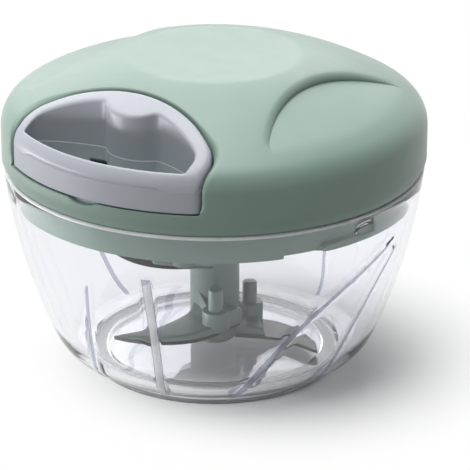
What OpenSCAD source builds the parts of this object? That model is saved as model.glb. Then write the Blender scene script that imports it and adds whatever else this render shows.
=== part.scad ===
// Pull-string food chopper: clear bowl, domed lid with a cord reel, docked pull handle and spinning blades.
// Millimetres, +Z up, origin at the middle of the bowl's foot, the handle is pulled along -Y.

/* [Bowl] */
// Height of the bowl, foot to rim
bowl_h = 62; // [56:1:72]
// Outer diameter of the rim
rim_d = 123.8; // [110:0.2:140]
// Outer diameter of the foot ring
foot_d = 74; // [64:1:80]
// Height of the foot ring
foot_h = 3; // [2:0.5:5]
// Radial width of the foot ring
foot_w = 4; // [3:0.5:8]
// Thickness of the floor
floor_t = 3; // [2:0.5:4]
// Thickness of the wall
bowl_wall = 2.3; // [1.8:0.1:2.8]
// Radius of the corner between the floor and the wall, outside
bowl_corner_r = 14; // [10:1:18]
// Lean of the lower wall from upright
bowl_low_lean = 24; // [20:1:28]
// Lean of the wall at the rim
bowl_top_lean = 6; // [4:1:10]

/* [Bayonet] */
// Lugs inside the rim
lug_count = 3; // [2:1:4]
// Length of a lug along the rim
lug_len = 9; // [6:0.5:11]
// Height of a lug
lug_h = 3.6; // [3:0.2:4.4]
// Reach of a lug in from the wall
lug_reach = 1.4; // [1:0.1:1.6]
// Depth of a lug's middle below the rim
lug_drop = 4.2; // [3.8:0.1:4.6]
// Direction of the first lug
lug_angle = 351.3; // [340:0.1:359]
// Turn of the lid that frees the lugs
unlock_deg = 20; // [15:1:25]
// Room around a lug in its groove
lug_gap = 0.4; // [0.3:0.1:0.6]

/* [Lid] */
// How much wider the lid is than the rim
lid_over = 1.2; // [0.4:0.1:2]
// Thickness of the cover
lid_wall = 2.2; // [1.8:0.1:2.8]
// Height of the cover's side, lower edge to shoulder
lid_side_h = 12; // [9:0.5:16]
// Radius of the shoulder
shoulder_r = 8.7; // [6:0.1:12]
// Radius of the dome
dome_r = 116; // [105:1:140]
// Taper of the lower edge: height
edge_h = 2.4; // [1.5:0.1:3.5]
// Taper of the lower edge: how far it draws in
edge_in = 1.1; // [0.5:0.1:1.4]
// Gap between the rim and the cover's lower edge
rim_gap = 1; // [0.6:0.1:1.6]
// Diameter of the shallow dish in the top
dish_d = 51; // [40:1:58]
// Depth of the dish
dish_depth = 0.9; // [0.5:0.1:1.5]
// Depth of the crescent grip steps
grip_depth = 2; // [1:0.1:2.4]
// Distance from the lid's side at which a grip step runs out into the dome
grip_run = 6.5; // [5:0.5:9]
// Thickness of the base plate
plate_t = 2.5; // [2:0.1:3]
// Gap between the base plate and the rim it rests on
seat_gap = 0.3; // [0.2:0.1:0.4]
// Drop of the skirt below the rim
skirt_drop = 8; // [7:0.2:10]
// Thickness of the skirt
skirt_t = 2.8; // [2.4:0.1:3.4]
// Gap between the skirt and the bowl
skirt_gap = 0.4; // [0.3:0.1:0.6]
// Distance of the base plate's screws from the lid's side
lid_screw_in = 10.5; // [10:0.5:13]

/* [Handle] */
// Width of the handle
handle_w = 66; // [58:1:70]
// Depth of the handle, from the lid's side to its back edge
handle_depth = 28.4; // [26:0.1:29]
// How far in front of the back edge the middle of a back corner lies
handle_shoulder = 14.1; // [13:0.1:15]
// Radius of the back corners
handle_corner_r = 7.5; // [6.5:0.5:9]
// Thickness of the back bar
handle_bar_t = 4.6; // [4:0.1:5.4]
// Thickness of the sides
handle_side_t = 4.4; // [3.8:0.1:5]
// Thickness of the front bar
handle_front_t = 2.4; // [2:0.1:4]
// How far the front stands back from the lid's side
handle_inset = 0.5; // [0.2:0.1:1]
// How far the top stands below the dome
handle_sink = 0.2; // [0:0.1:0.6]
// Radius of the cord boss in the back bar
boss_r = 7.4; // [6.6:0.1:7.8]
// Height of the lid's ledge under the handle
ledge_h = 6.2; // [5.6:0.1:7]
// Height of the handle's lower half
handle_low_h = 6.8; // [6:0.1:8]
// Gap around the handle in its bay
bay_gap = 0.6; // [0.4:0.1:1]
// Gap under the handle
rest_gap = 0.3; // [0.2:0.1:0.5]
// Width of the scoop in the ledge
scoop_w = 9.5; // [6:0.5:14]
// Depth of the scoop in the ledge
scoop_depth = 2.2; // [1:0.1:3]

/* [Reel] */
// Room between the reel and the handle's back edge
reel_room = 5.6; // [5.4:0.1:7]
// Depth of the groove that the cord winds in
winding_room = 8.5; // [7:0.5:10]
// Thickness of a flange
flange_t = 1.5; // [1.2:0.1:2]
// Height of the cord's groove
groove_h = 6; // [5.4:0.1:6.6]
// Height of the spring cup
cup_h = 8; // [6:0.5:9]
// Thickness of the cup's wall
cup_t = 2; // [1.5:0.1:2.5]
// Thickness of the spring cover
spring_cover_t = 1.2; // [1:0.1:2]
// Gap between the reel and the base plate
reel_lift = 2.4; // [2.2:0.1:3]
// Diameter of the spindle
spindle_d = 6; // [5:0.1:7]
// Radial clearance of a running bore
run_gap = 0.05; // [0.02:0.01:0.08]
// End gap of a turning piece
end_gap = 0.3; // [0.2:0.1:0.4]
// Turns of the spring
spring_turns = 6; // [4:1:8]
// Thickness of the spring's strip
spring_t = 0.5; // [0.3:0.1:0.8]
// Diameter of the cord
cord_d = 1.8; // [1.4:0.1:2]
// Layers of turns side by side on the drum
cord_turns = 3; // [2:1:3]

/* [Drive] */
// Diameter of the blade shaft
shaft_d = 14.8; // [13:0.2:16]
// Diameter of the drive head's core
head_d = 10.4; // [9:0.2:11]
// Reach of a tang out from the core
tang_reach = 2.6; // [2:0.1:3]
// Width of a tang in degrees
tang_deg = 40; // [30:1:45]
// Width of a dog in degrees
dog_deg = 60; // [50:1:65]
// Lost motion between a dog and its tang at rest
lost_deg = 26; // [25:1:28]
// Outer diameter of the drive socket
socket_d = 22; // [21:0.2:24]
// Length of the drive head
head_len = 6.2; // [5:0.2:7]

/* [Blades] */
// Reach of a blade's tip from the axis
blade_tip_r = 34.5; // [28:0.5:36]
// Fall of the cutting edge's radius for each degree
blade_fall = 0.3; // [0.26:0.01:0.31]
// Sweep of a blade in degrees
blade_sweep = 66; // [60:1:70]
// Direction of the lowest blade's tip
blade_angle = 7.6; // [0:0.1:20]
// Thickness of a blade
blade_t = 1; // [0.8:0.1:1.4]
// Margin of bare blade beside its arm
blade_margin = 1.6; // [1:0.1:3]
// Height of the lowest blade above the floor
blade_low_h = 1.6; // [1.4:0.1:2]
// Step from the lowest to the middle blade
blade_mid_step = 5.4; // [5:0.1:7]
// Step from the middle to the top blade
blade_high_step = 19.3; // [17:0.1:20]
// Turn from the lowest to the top blade's tip
blade_high_turn = 192.4; // [180:0.2:200]
// Height of an arm at the shaft
arm_h = 3.2; // [2.4:0.1:4]
// Height of an arm at its outer end
arm_tip_h = 0.9; // [0.6:0.1:1.4]
// Distance of a stake from the axis
stake_r = 12.4; // [11.6:0.1:13]
// Diameter of a stake's boss
stake_boss_d = 8; // [7:0.2:8.4]
// Height of a stake's boss above its blade
stake_boss_h = 6; // [5:0.2:7]
// Diameter of a stake
stake_d = 4.4; // [3.6:0.1:5]
// Height of a stake's peg above its boss
stake_h = 6.6; // [4:0.2:7.4]
// Diameter of the pivot pin
pin_d = 5; // [4:0.2:5.4]
// Height of the pivot pin above the floor
pin_h = 18; // [15:0.5:20]
// Wall of the bush
bush_t = 1.4; // [1:0.1:1.6]

/* [Hidden] */
$fn = 96;
// Small overlap that keeps cuts and joints clean
eps = 0.01;
// Longer than anything that it has to pass through
far = 200;

// Heights of the bowl and of the lid's planes
floor_z = foot_h + floor_t;
rim_z = bowl_h;
rim_r = rim_d / 2;
plate_z = rim_z + seat_gap;
plate_top = plate_z + plate_t;
lid_z = rim_z + rim_gap;
skirt_z = rim_z - skirt_drop;
lid_d = rim_d + lid_over;
lid_r = lid_d / 2;
handle_back_r = lid_r - handle_depth;
grip_end_r = lid_r - grip_run;
lid_screw_r = lid_r - lid_screw_in;
flange_r = handle_back_r - reel_room;
drum_r = flange_r - winding_room;
shoulder_z = lid_z + lid_side_h;
bay_z = lid_z + ledge_h;
handle_z = bay_z + rest_gap;
parting_z = handle_z + handle_low_h;

// Arc of points about c, from angle a to angle b
function arc(c, r, a, b, n = 8) = [for (i = [0 : n]) let (t = a + (b - a) * i / n) c + r * [cos(t), sin(t)]];
// Points of a list in the other order
function flip(p) = [for (i = [len(p) - 1 : -1 : 0]) p[i]];
// Outline that is the same on both sides of x = 0, from its right half
function both(p) = concat(p, [for (q = flip(p)) [-q[0], q[1]]]);
// Point at radius r and angle a
function polar(r, a) = r * [cos(a), sin(a)];

// Wall of the bowl: a corner arc, then an arc from the lower lean to the rim's lean
corner_c = [foot_d / 2 - 1.5, foot_h + bowl_corner_r];
corner_end = corner_c + bowl_corner_r * [cos(bowl_low_lean), -sin(bowl_low_lean)];
wall_rise = rim_z - corner_end[1];
wall_bow = wall_rise / (sin(bowl_low_lean) - sin(bowl_top_lean));
wall_run = wall_bow * (cos(bowl_top_lean) - cos(bowl_low_lean));
// Part of the run that the rim's own diameter asks for
wall_fit = (rim_r - corner_end[0]) / wall_run;
function wall_pt(t, inset) = let (
    a = bowl_low_lean + (bowl_top_lean - bowl_low_lean) * t,
    x = corner_end[0] + wall_fit * wall_bow * (cos(a) - cos(bowl_low_lean)),
    z = corner_end[1] + wall_bow * (sin(bowl_low_lean) - sin(a))) [x - inset, z];
wall_n = 9;
function bowl_wall_pts(inset) = concat(
    arc(corner_c, bowl_corner_r - inset, -80, -bowl_low_lean, 7),
    [for (i = [1 : wall_n]) wall_pt(i / wall_n, inset)]);
// Outer radius of the wall at a height
function wall_r(z) = let (a = asin(sin(bowl_low_lean) - (z - corner_end[1]) / wall_bow))
    corner_end[0] + wall_fit * wall_bow * (cos(a) - cos(bowl_low_lean));
// Inside of the bowl where the skirt ends, which is the narrowest place that the skirt reaches
neck_r = wall_r(skirt_z) - bowl_wall;
skirt_r = neck_r - skirt_gap;
lug_tip_r = neck_r - lug_reach;

// Dome of the lid, drawn in by inset from the outside
shoulder_c = [lid_r - shoulder_r, shoulder_z];
dome_cz = shoulder_z - sqrt(pow(dome_r - shoulder_r, 2) - pow(shoulder_c[0], 2));
dome_join = atan2(shoulder_z - dome_cz, shoulder_c[0]);
dish_r = dish_d / 2;
dish_edge_z = dome_cz + sqrt(pow(dome_r, 2) - pow(dish_r, 2));
dish_z = dish_edge_z - dish_depth;
ceiling_z = dish_z - lid_wall;
function dome_z(r) = dome_cz + sqrt(pow(dome_r, 2) - pow(r, 2));
function dome_pts(inset, r_in) = concat(
    arc(shoulder_c, shoulder_r - inset, 0, dome_join, 10),
    arc([0, dome_cz], dome_r - inset, dome_join + 0.5, acos(r_in / (dome_r - inset)), 12));
// Radius at which the inside of the dome meets the flat ceiling under the dish
ceiling_r = sqrt(pow(dome_r - lid_wall, 2) - pow(ceiling_z - dome_cz, 2));

// Handle outline, grown by g: bowed back, round corners, straight sides
corner_v = handle_w / 2 - handle_corner_r;
corner_u = handle_back_r + handle_shoulder;
// Radius of the bowed back edge that runs into both corners
handle_bow_r = (pow(corner_v, 2) + pow(handle_shoulder, 2) - pow(handle_corner_r, 2))
    / (2 * (handle_shoulder - handle_corner_r));
bow_u = handle_back_r + handle_bow_r;
bow_end = asin(corner_v / (handle_bow_r - handle_corner_r));
handle_front_r = lid_r - handle_inset;
function back_half(g) = concat(
    [for (i = [0 : 8]) let (t = bow_end * i / 8) (handle_bow_r + g) * [sin(t), cos(t)] - [0, bow_u]],
    [for (i = [1 : 6]) let (t = bow_end + (90 - bow_end) * i / 6)
        [corner_v, -corner_u] + (handle_corner_r + g) * [sin(t), cos(t)]]);
function front_half(v, r) = [for (i = [0 : 8]) let (a = asin(v / r) * (1 - i / 8)) r * [sin(a), -cos(a)]];
function handle_outline(g, front) = both(concat(back_half(g), front_half(handle_w / 2 + g, front)));
function bay_outline(g) = both(concat(back_half(g), [[handle_w / 2 + g, -lid_d]]));
// The opening inside the loop
inner_corner_r = handle_corner_r - handle_side_t + 1.2;
inner_v = handle_w / 2 - handle_side_t - inner_corner_r;
inner_bow_r = handle_bow_r - handle_bar_t;
inner_u = bow_u - sqrt(pow(inner_bow_r - inner_corner_r, 2) - pow(inner_v, 2));
inner_end = asin(inner_v / (inner_bow_r - inner_corner_r));
inner_front = handle_front_r - handle_front_t;
inner_outline = both(concat(
    [for (i = [0 : 8]) let (t = inner_end * i / 8) inner_bow_r * [sin(t), cos(t)] - [0, bow_u]],
    [for (i = [1 : 6]) let (t = inner_end + (90 - inner_end) * i / 6)
        [inner_v, -inner_u] + inner_corner_r * [sin(t), cos(t)]],
    front_half(inner_v + inner_corner_r, inner_front)));
// Middle of the cord boss, with its back on the handle's back edge
boss_y = -handle_back_r - boss_r / 3;

// Reel, from the base plate up
reel_z = plate_top + reel_lift;
groove_z = reel_z + flange_t;
cup_z = groove_z + groove_h + flange_t;
cup_top = cup_z + cup_h;
cord_z = groove_z + groove_h / 2;
cord_r = drum_r + cord_d * 1.5 + 0.05;
spindle_r = spindle_d / 2;
spindle_bore = spindle_r + run_gap;
hub_top = cup_z + 0.7;
arbor_r = spindle_r + 3.5;
arbor_z = hub_top + end_gap;
spindle_z = reel_z - end_gap;
spindle_top = ceiling_z - 2;
washer_t = 0.8;
spindle_thread = 8;
washer_r = spindle_r + 3;
spindle_screw_head_h = 1.6;
spring_in = arbor_r + 0.7;
spring_out = flange_r - cup_t - 0.3;

// Drive head and socket, from the spindle's screw down
head_top = spindle_z - washer_t - spindle_screw_head_h - 0.7;
head_z = head_top - head_len;
tang_r = head_d / 2 + tang_reach;
socket_in = tang_r + end_gap;
socket_z = head_z + end_gap;
shaft_r = shaft_d / 2;
// Tangs start here: a dog waits behind each of them by the lost motion
tang_angle = 20;
dog_angle = tang_angle - lost_deg - dog_deg;

// Blade heights, tips and the carrier
blade_z = [floor_z + blade_low_h, floor_z + blade_low_h + blade_mid_step,
    floor_z + blade_low_h + blade_mid_step + blade_high_step];
blade_tip = [blade_angle, blade_angle + 240, blade_angle + blade_high_turn];
carrier_z = blade_z[0] - 0.3;
carrier_top = blade_z[2] + blade_t + arm_h + 4;
pin_boss_z = carrier_z - end_gap;
pin_r = pin_d / 2;
pin_top = floor_z + pin_h;
bush_r = pin_r + run_gap + bush_t;
bush_top = pin_top - 1;
spigot_z = pin_top + 2;
spigot_r = shaft_r - 2.4;
stake_rel = 60;

// Cord: it leaves the drum on the -X side, passes the guide and ends in the handle's boss
bay_back_y = -(handle_back_r - bay_gap);
bay_wall_y = bay_back_y + lid_wall;
guide_lip = 1;
bend_y = bay_wall_y + guide_lip + 0.3;
leave_angle = 270 - acos(cord_r / -bend_y);
knot_y = boss_y;
knot_r = cord_d * 1.15;
cord_points = [
    concat(polar(cord_r, leave_angle), [cord_z]),
    [0, bend_y, cord_z],
    [0, knot_y + knot_r + 0.05, cord_z]];

// Ring between two radii
module ring(r_out, r_in, z0, z1) {
    translate([0, 0, z0])
        difference() {
            cylinder(h = z1 - z0, r = r_out);
            translate([0, 0, -eps])
                cylinder(h = z1 - z0 + 2 * eps, r = r_in);
        }
}

// Wedge from the axis out to a radius, between two angles less than 180 degrees apart
module wedge(r, a, b, z0, z1) {
    reach = r / cos((b - a) / 2) + 1;
    translate([0, 0, z0])
        linear_extrude(z1 - z0)
            polygon([[0, 0], polar(reach, a), polar(reach, (a + b) / 2), polar(reach, b)]);
}

// Part of a ring between two angles
module ring_part(r_out, r_in, a, b, z0, z1) {
    intersection() {
        ring(r_out, r_in, z0, z1);
        wedge(r_out, a, b, z0 - 1, z1 + 1);
    }
}

// Straight round rod between two points
module rod(p, q, d) {
    v = q - p;
    translate(p)
        rotate([0, acos(v[2] / norm(v)), atan2(v[1], v[0])])
            cylinder(h = norm(v), d = d, $fn = 24);
}

// Screw with a flat round head below and a shank above, head face at z
module screw(z, head_r, head_h, shank_r, len) {
    translate([0, 0, z])
        difference() {
            union() {
                cylinder(h = head_h, r = head_r, $fn = 32);
                cylinder(h = len, r = shank_r, $fn = 32);
            }
            for (a = [0, 90])
                rotate(a)
                    translate([-head_r * 0.6, -head_r * 0.13, -eps])
                        cube([head_r * 1.2, head_r * 0.26, head_h * 0.6]);
        }
}

// Everything inside the dome's outer face
module dome_solid(inset = 0) {
    rotate_extrude()
        polygon(concat([[0, lid_z], [lid_r - edge_in - inset, lid_z], [lid_r - inset, lid_z + edge_h]],
            dome_pts(inset, eps)));
}

module bowl() {
    outer = bowl_wall_pts(0);
    inner = bowl_wall_pts(bowl_wall);
    floor_r = inner[0][0];
    color([0.86, 0.88, 0.95, 0.35]) {
        difference() {
            union() {
                rotate_extrude()
                    polygon(concat(
                        [[0, foot_h], [foot_d / 2 - foot_w, foot_h], [foot_d / 2 - foot_w, 0], [foot_d / 2, 0]],
                        [[foot_d / 2, foot_h * 0.8]], outer,
                        flip([for (p = inner) [p[0], max(p[1], floor_z)]]),
                        [[0, floor_z]]));
                translate([0, 0, floor_z - eps])
                    cylinder(h = pin_boss_z - floor_z + eps, r = pin_r + 2.4);
                for (k = [0 : lug_count - 1])
                    rotate(lug_angle + k * 360 / lug_count)
                        bowl_lug();
            }
            translate([0, 0, foot_h + 1])
                cylinder(h = far, r = pin_r);
        }
    }
}

// One lug: a bar with round ends on the rim's inside, standing in by its reach
module bowl_lug() {
    tip = lug_tip_r;
    root = neck_r + bowl_wall / 2;
    half = lug_len / 2 - lug_h / 2;
    translate([0, 0, rim_z - lug_drop])
        intersection() {
            union() {
                for (y = [-half, half])
                    translate([tip - 4, y, 0])
                        rotate([0, 90, 0])
                            cylinder(h = 8, d = lug_h, $fn = 32);
                translate([tip - 4, -half, -lug_h / 2])
                    cube([8, 2 * half, lug_h]);
            }
            ring(root, tip, -lug_h, lug_h);
        }
}

module pivot_pin() {
    color("silver")
        translate([0, 0, foot_h + 1])
            cylinder(h = pin_top - foot_h - 1, r = pin_r);
}

// Outline of a blade about its tip's direction, drawn in by m along the cutting edge
function blade_outline(r_in, m) = let (steps = 14, tip = blade_tip_r - m * 1.6) concat(
    arc([0, 0], r_in, blade_sweep, -4, 6),
    [for (i = [0 : steps]) let (a = blade_sweep * i / steps)
        polar(tip - blade_fall * a - (i == 0 ? 0 : m * 0.4) + 3 * sin(180 * i / steps) * 0.35, a)]);

module blade(k) {
    root_r = shaft_r + 0.2;
    color("darkgray")
        rotate(blade_tip[k])
            translate([0, 0, blade_z[k]])
                difference() {
                    linear_extrude(blade_t)
                        polygon(blade_outline(root_r, 0));
                    rotate(stake_rel)
                        translate([stake_r, 0, -eps])
                            cylinder(h = blade_t + 2 * eps, d = stake_d + 0.1, $fn = 32);
                }
}

module blade_low() {
    blade(0);
}

module blade_mid() {
    blade(1);
}

module blade_high() {
    blade(2);
}

// Arm over a blade: the blade's outline, less a margin, under a shallow cone
module arm(k) {
    z = blade_z[k] + blade_t;
    slope = (arm_h - arm_tip_h) / (blade_tip_r - shaft_r);
    web_w = stake_d - 1;
    rotate(blade_tip[k]) {
        intersection() {
            translate([0, 0, z])
                linear_extrude(2 * arm_h)
                    polygon(blade_outline(shaft_r - 1, blade_margin));
            translate([0, 0, z - 1])
                rotate_extrude()
                    polygon([[0, 0], [blade_tip_r + 1, 0], [blade_tip_r + 1, 1 + arm_tip_h - slope],
                        [0, 1 + arm_h + slope * shaft_r]]);
        }
        rotate(stake_rel)
            translate([stake_r, 0, 0]) {
                translate([0, 0, z])
                    cylinder(h = stake_boss_h, d = stake_boss_d, $fn = 32);
                translate([0, 0, blade_z[k] - 0.1])
                    cylinder(h = blade_t + stake_boss_h + stake_h, d = stake_d, $fn = 32);
                // Web between the boss and the shaft
                translate([shaft_r - stake_r - 1, -web_w / 2, z + 0.2])
                    cube([stake_r - shaft_r, web_w, stake_boss_h - 0.8]);
            }
    }
}

module blade_carrier() {
    color([0.55, 0.62, 0.58])
        difference() {
            union() {
                translate([0, 0, carrier_z])
                    cylinder(h = carrier_top - carrier_z, r = shaft_r);
                for (k = [0 : 2])
                    arm(k);
            }
            translate([0, 0, carrier_z - eps])
                cylinder(h = spigot_z - carrier_z + 2 * eps, r = bush_r);
            translate([0, 0, spigot_z])
                cylinder(h = far, r = spigot_r);
        }
}

module shaft_bush() {
    color("goldenrod")
        ring(bush_r, pin_r + run_gap, carrier_z, bush_top);
}

module blade_shaft() {
    color([0.55, 0.62, 0.58])
        union() {
            translate([0, 0, spigot_z])
                cylinder(h = carrier_top - spigot_z, r = spigot_r);
            translate([0, 0, carrier_top])
                cylinder(h = head_z - carrier_top, r = shaft_r);
            translate([0, 0, head_z - eps])
                cylinder(h = head_len + eps, d = head_d);
            for (a = [0, 180])
                ring_part(tang_r, head_d / 2 - 1, tang_angle + a, tang_angle + tang_deg + a, head_z - eps,
                    head_top - 1);
        }
}

// Cut of one crescent grip: the handle's back outline over a floor that runs out into the dome
module grip_cut() {
    grip_r = handle_back_r - 0.8;
    floor_in = dome_z(grip_r) - grip_depth;
    end_z = dome_z(grip_end_r);
    mid_r = (grip_r + grip_end_r) / 2;
    mid_z = dome_z(mid_r) - grip_depth * 0.75;
    intersection() {
        translate([0, 0, shoulder_z])
            linear_extrude(far)
                polygon(bay_outline(0.8));
        rotate_extrude()
            polygon([[grip_r - 20, floor_in + 2], [grip_r, floor_in], [mid_r, mid_z], [grip_end_r, end_z],
                [lid_d, end_z + 30], [lid_d, far], [grip_r - 20, far]]);
    }
}

// Places of the screws between the base plate and the cover
lid_screw_at = [-15, 65, 115, 195];
lid_screw_shank = 1.4;
lid_screw_head = 2.6;
lid_screw_head_h = 1.4;
lid_screw_len = 9;

module lid_cover() {
    pilot_top = plate_z + lid_screw_len + 1;
    color([0.66, 0.76, 0.69])
        difference() {
            union() {
                difference() {
                    rotate_extrude()
                        polygon(concat(
                            [[0, lid_z], [lid_r - edge_in, lid_z], [lid_r, lid_z + edge_h]],
                            dome_pts(0, dish_r),
                            [for (i = [1 : 4]) let (s = 1 - i / 4) [dish_r * s, dish_z + dish_depth * s * s]]));
                    rotate_extrude()
                        polygon(concat([[0, lid_z - 1], [lid_r - lid_wall, lid_z - 1]],
                            dome_pts(lid_wall, ceiling_r), [[0, ceiling_z]]));
                }
                intersection() {
                    dome_solid(lid_wall / 2);
                    union() {
                        translate([0, 0, bay_z - lid_wall])
                            linear_extrude(far)
                                polygon(bay_outline(bay_gap + lid_wall));
                        for (a = lid_screw_at)
                            translate(concat(polar(lid_screw_r, a), [plate_top]))
                                cylinder(h = far, r = lid_screw_shank + 2, $fn = 32);
                        for (x = [-1, 1])
                            rotate(x * 90)
                                grip_backing();
                        translate([0, 0, arbor_z])
                            cylinder(h = ceiling_z - arbor_z + 1, r = arbor_r);
                    }
                }
            }
            translate([0, 0, bay_z])
                linear_extrude(far)
                    polygon(bay_outline(bay_gap));
            for (x = [-1, 1])
                rotate(x * 90)
                    grip_cut();
            // Scoop in the ledge under the middle of the handle
            translate([0, -lid_r - scoop_w, bay_z])
                rotate([-90, 0, 0])
                    intersection() {
                        translate([0, -scoop_radius + scoop_depth, 0])
                            cylinder(h = scoop_w + 2.2, r = scoop_radius);
                        translate([-scoop_w, 0, 0])
                            cube([2 * scoop_w, scoop_depth * 2, 2 * scoop_w]);
                    }
            // Hole for the cord guide
            translate([0, bay_back_y - 1, cord_z])
                rotate([-90, 0, 0])
                    cylinder(h = lid_wall + 2, r = guide_r, $fn = 32);
            // Pilot holes of the screws, the spindle's bore and the spring's slot
            for (a = lid_screw_at)
                translate(concat(polar(lid_screw_r, a), [plate_top - 1]))
                    cylinder(h = pilot_top - plate_top + 1, r = lid_screw_shank, $fn = 32);
            translate([0, 0, arbor_z - 1])
                cylinder(h = spindle_top - arbor_z + 1 + end_gap, r = spindle_bore);
            translate([0, -spring_t / 2 - 0.2, arbor_z - 1])
                cube([arbor_r + 1, spring_t + 0.4, cup_top - arbor_z + 1]);
        }
}

// Thickening under a grip step, so that the cover keeps its wall there
module grip_backing() {
    translate([0, 0, shoulder_z])
        difference() {
            linear_extrude(far)
                polygon(bay_outline(0.8 + lid_wall));
            rotate_extrude()
                polygon([[0, -1], [lid_d, -1], [lid_d, dome_z(grip_end_r) - shoulder_z - lid_wall],
                    [grip_end_r, dome_z(grip_end_r) - shoulder_z - lid_wall],
                    [0, dome_z(grip_end_r) + 2 * grip_depth - shoulder_z - lid_wall]]);
        }
}

scoop_radius = (pow(scoop_w / 2, 2) + pow(scoop_depth, 2)) / (2 * scoop_depth);
guide_r = cord_d / 2 + 1.2;

module lid_base() {
    groove_r = lug_tip_r - lug_gap;
    lug_z = rim_z - lug_drop;
    lug_half = asin(lug_len / 2 / lug_tip_r);
    gap_deg = asin(lug_gap / lug_tip_r);
    hole_r = socket_d / 2 + lug_gap;
    closed = lug_half + gap_deg;
    entry_mid = -unlock_deg;
    entry_half = lug_half + 2 * gap_deg;
    color([0.62, 0.72, 0.65])
        difference() {
            rotate_extrude()
                polygon([
                    [hole_r, skirt_z + 2], [hole_r + 2.4, skirt_z + 2], [hole_r + 2.4, plate_z],
                    [skirt_r - skirt_t, plate_z], [skirt_r - skirt_t, skirt_z], [skirt_r, skirt_z],
                    [skirt_r, plate_z], [lid_r - lid_wall - 0.1, plate_z], [lid_r - lid_wall - 0.1, plate_top],
                    [hole_r, plate_top]]);
            for (k = [0 : lug_count - 1])
                rotate(lug_angle + k * 360 / lug_count) {
                    ring_part(skirt_r + 1, groove_r, entry_mid, closed,
                        lug_z - lug_h / 2 - lug_gap, lug_z + lug_h / 2 + lug_gap);
                    ring_part(skirt_r + 2, groove_r - 0.1, entry_mid - entry_half, entry_mid + entry_half,
                        skirt_z - 1, lug_z + lug_h / 2 + lug_gap + 0.1);
                }
            for (a = lid_screw_at)
                translate(concat(polar(lid_screw_r, a), [plate_z])) {
                    translate([0, 0, -1])
                        cylinder(h = plate_t + 2, r = lid_screw_shank + 0.1, $fn = 32);
                    translate([0, 0, -1])
                        cylinder(h = lid_screw_head_h + 1.1, r = lid_screw_head + 0.2, $fn = 32);
                }
        }
}

module lid_screws() {
    color("silver")
        for (a = lid_screw_at)
            translate(polar(lid_screw_r, a))
                screw(plate_z + 0.1, lid_screw_head, lid_screw_head_h, lid_screw_shank, lid_screw_len);
}

module cord_guide() {
    color("gainsboro")
        translate([0, bay_back_y, cord_z])
            rotate([-90, 0, 0])
                difference() {
                    union() {
                        cylinder(h = lid_wall + guide_lip, r = guide_r, $fn = 32);
                        translate([0, 0, lid_wall])
                            cylinder(h = guide_lip, r = guide_r + 1, $fn = 32);
                    }
                    translate([0, 0, -1])
                        cylinder(h = lid_wall + guide_lip + 2, r = cord_d / 2 + 0.3, $fn = 32);
                }
}

module spindle() {
    color("silver")
        translate([0, 0, spindle_z])
            difference() {
                cylinder(h = spindle_top - spindle_z, r = spindle_r);
                translate([0, 0, -1])
                    cylinder(h = spindle_thread + 1, r = spindle_r * 0.4, $fn = 32);
            }
}

module spindle_washer() {
    color("silver")
        ring(washer_r, spindle_r * 0.4 + 0.1, spindle_z - washer_t, spindle_z);
}

module spindle_screw() {
    color("dimgray")
        screw(spindle_z - washer_t - spindle_screw_head_h, spindle_r * 0.9, spindle_screw_head_h,
            spindle_r * 0.4, spindle_screw_head_h + washer_t + spindle_thread - 1);
}

// Places of the screws between the drive socket and the reel
socket_screw_r = socket_d / 2 + 2.6;
socket_flange_r = socket_screw_r + 2.6;
socket_flange_t = 1.6;
socket_screw_shank = 0.9;
socket_screw_len = 3;

module cord_reel() {
    color("whitesmoke")
        difference() {
            rotate_extrude()
                polygon([
                    [spindle_bore, reel_z], [flange_r, reel_z], [flange_r, groove_z], [drum_r, groove_z],
                    [drum_r, groove_z + groove_h], [flange_r, groove_z + groove_h], [flange_r, cup_top],
                    [flange_r - cup_t, cup_top], [flange_r - cup_t, cup_z], [arbor_r, cup_z],
                    [arbor_r, hub_top], [spindle_bore, hub_top]]);
            for (a = [0, 120, 240])
                translate(concat(polar(socket_screw_r, a), [reel_z - 1]))
                    cylinder(h = socket_screw_len + 0.5, r = socket_screw_shank, $fn = 24);
        }
}

module drive_socket() {
    top = reel_z;
    color([0.45, 0.47, 0.48])
        union() {
            difference() {
                union() {
                    translate([0, 0, socket_z])
                        cylinder(h = top - socket_z, d = socket_d);
                    translate([0, 0, top - socket_flange_t])
                        cylinder(h = socket_flange_t, r = socket_flange_r);
                }
                translate([0, 0, socket_z - 1])
                    cylinder(h = top - socket_z + 2, r = socket_in);
                for (a = [0, 120, 240])
                    translate(concat(polar(socket_screw_r, a), [top - socket_flange_t - 1]))
                        cylinder(h = socket_flange_t + 2, r = socket_screw_shank + 0.1, $fn = 24);
            }
            for (a = [0, 180])
                ring_part(socket_in + 0.5, head_d / 2 + end_gap, dog_angle + a, dog_angle + dog_deg + a,
                    socket_z, head_top - 1);
        }
}

module socket_screws() {
    head_h = 0.5;
    color("silver")
        for (a = [0, 120, 240])
            translate(polar(socket_screw_r, a))
                screw(reel_z - socket_flange_t - head_h, socket_screw_shank * 2, head_h, socket_screw_shank,
                    head_h + socket_flange_t + socket_screw_len - 1);
}

module spiral_spring() {
    steps = spring_turns * 20;
    pitch = (spring_out - spring_in) / (spring_turns * 360);
    strip = [for (i = [1 : steps]) let (a = 360 * spring_turns * i / steps) [a, spring_in + pitch * a]];
    color("slategray")
        translate([0, 0, hub_top + end_gap])
            linear_extrude(cup_top - hub_top - 2 * end_gap)
                polygon(concat(
                    [[arbor_r - 2, -spring_t / 2], [spring_in, -spring_t / 2]],
                    [for (p = strip) polar(p[1], p[0])],
                    flip([for (p = strip) polar(p[1] - spring_t, p[0])]),
                    [[spring_in - spring_t, spring_t / 2], [arbor_r - 2, spring_t / 2]]));
}

module spring_cover() {
    color("lightgray")
        ring(flange_r, arbor_r + 1, cup_top, cup_top + spring_cover_t);
}

module cord_winding() {
    half = cord_turns * cord_d / 2;
    color("white")
        ring(drum_r + cord_d, drum_r, cord_z - half, cord_z + half);
}

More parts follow.
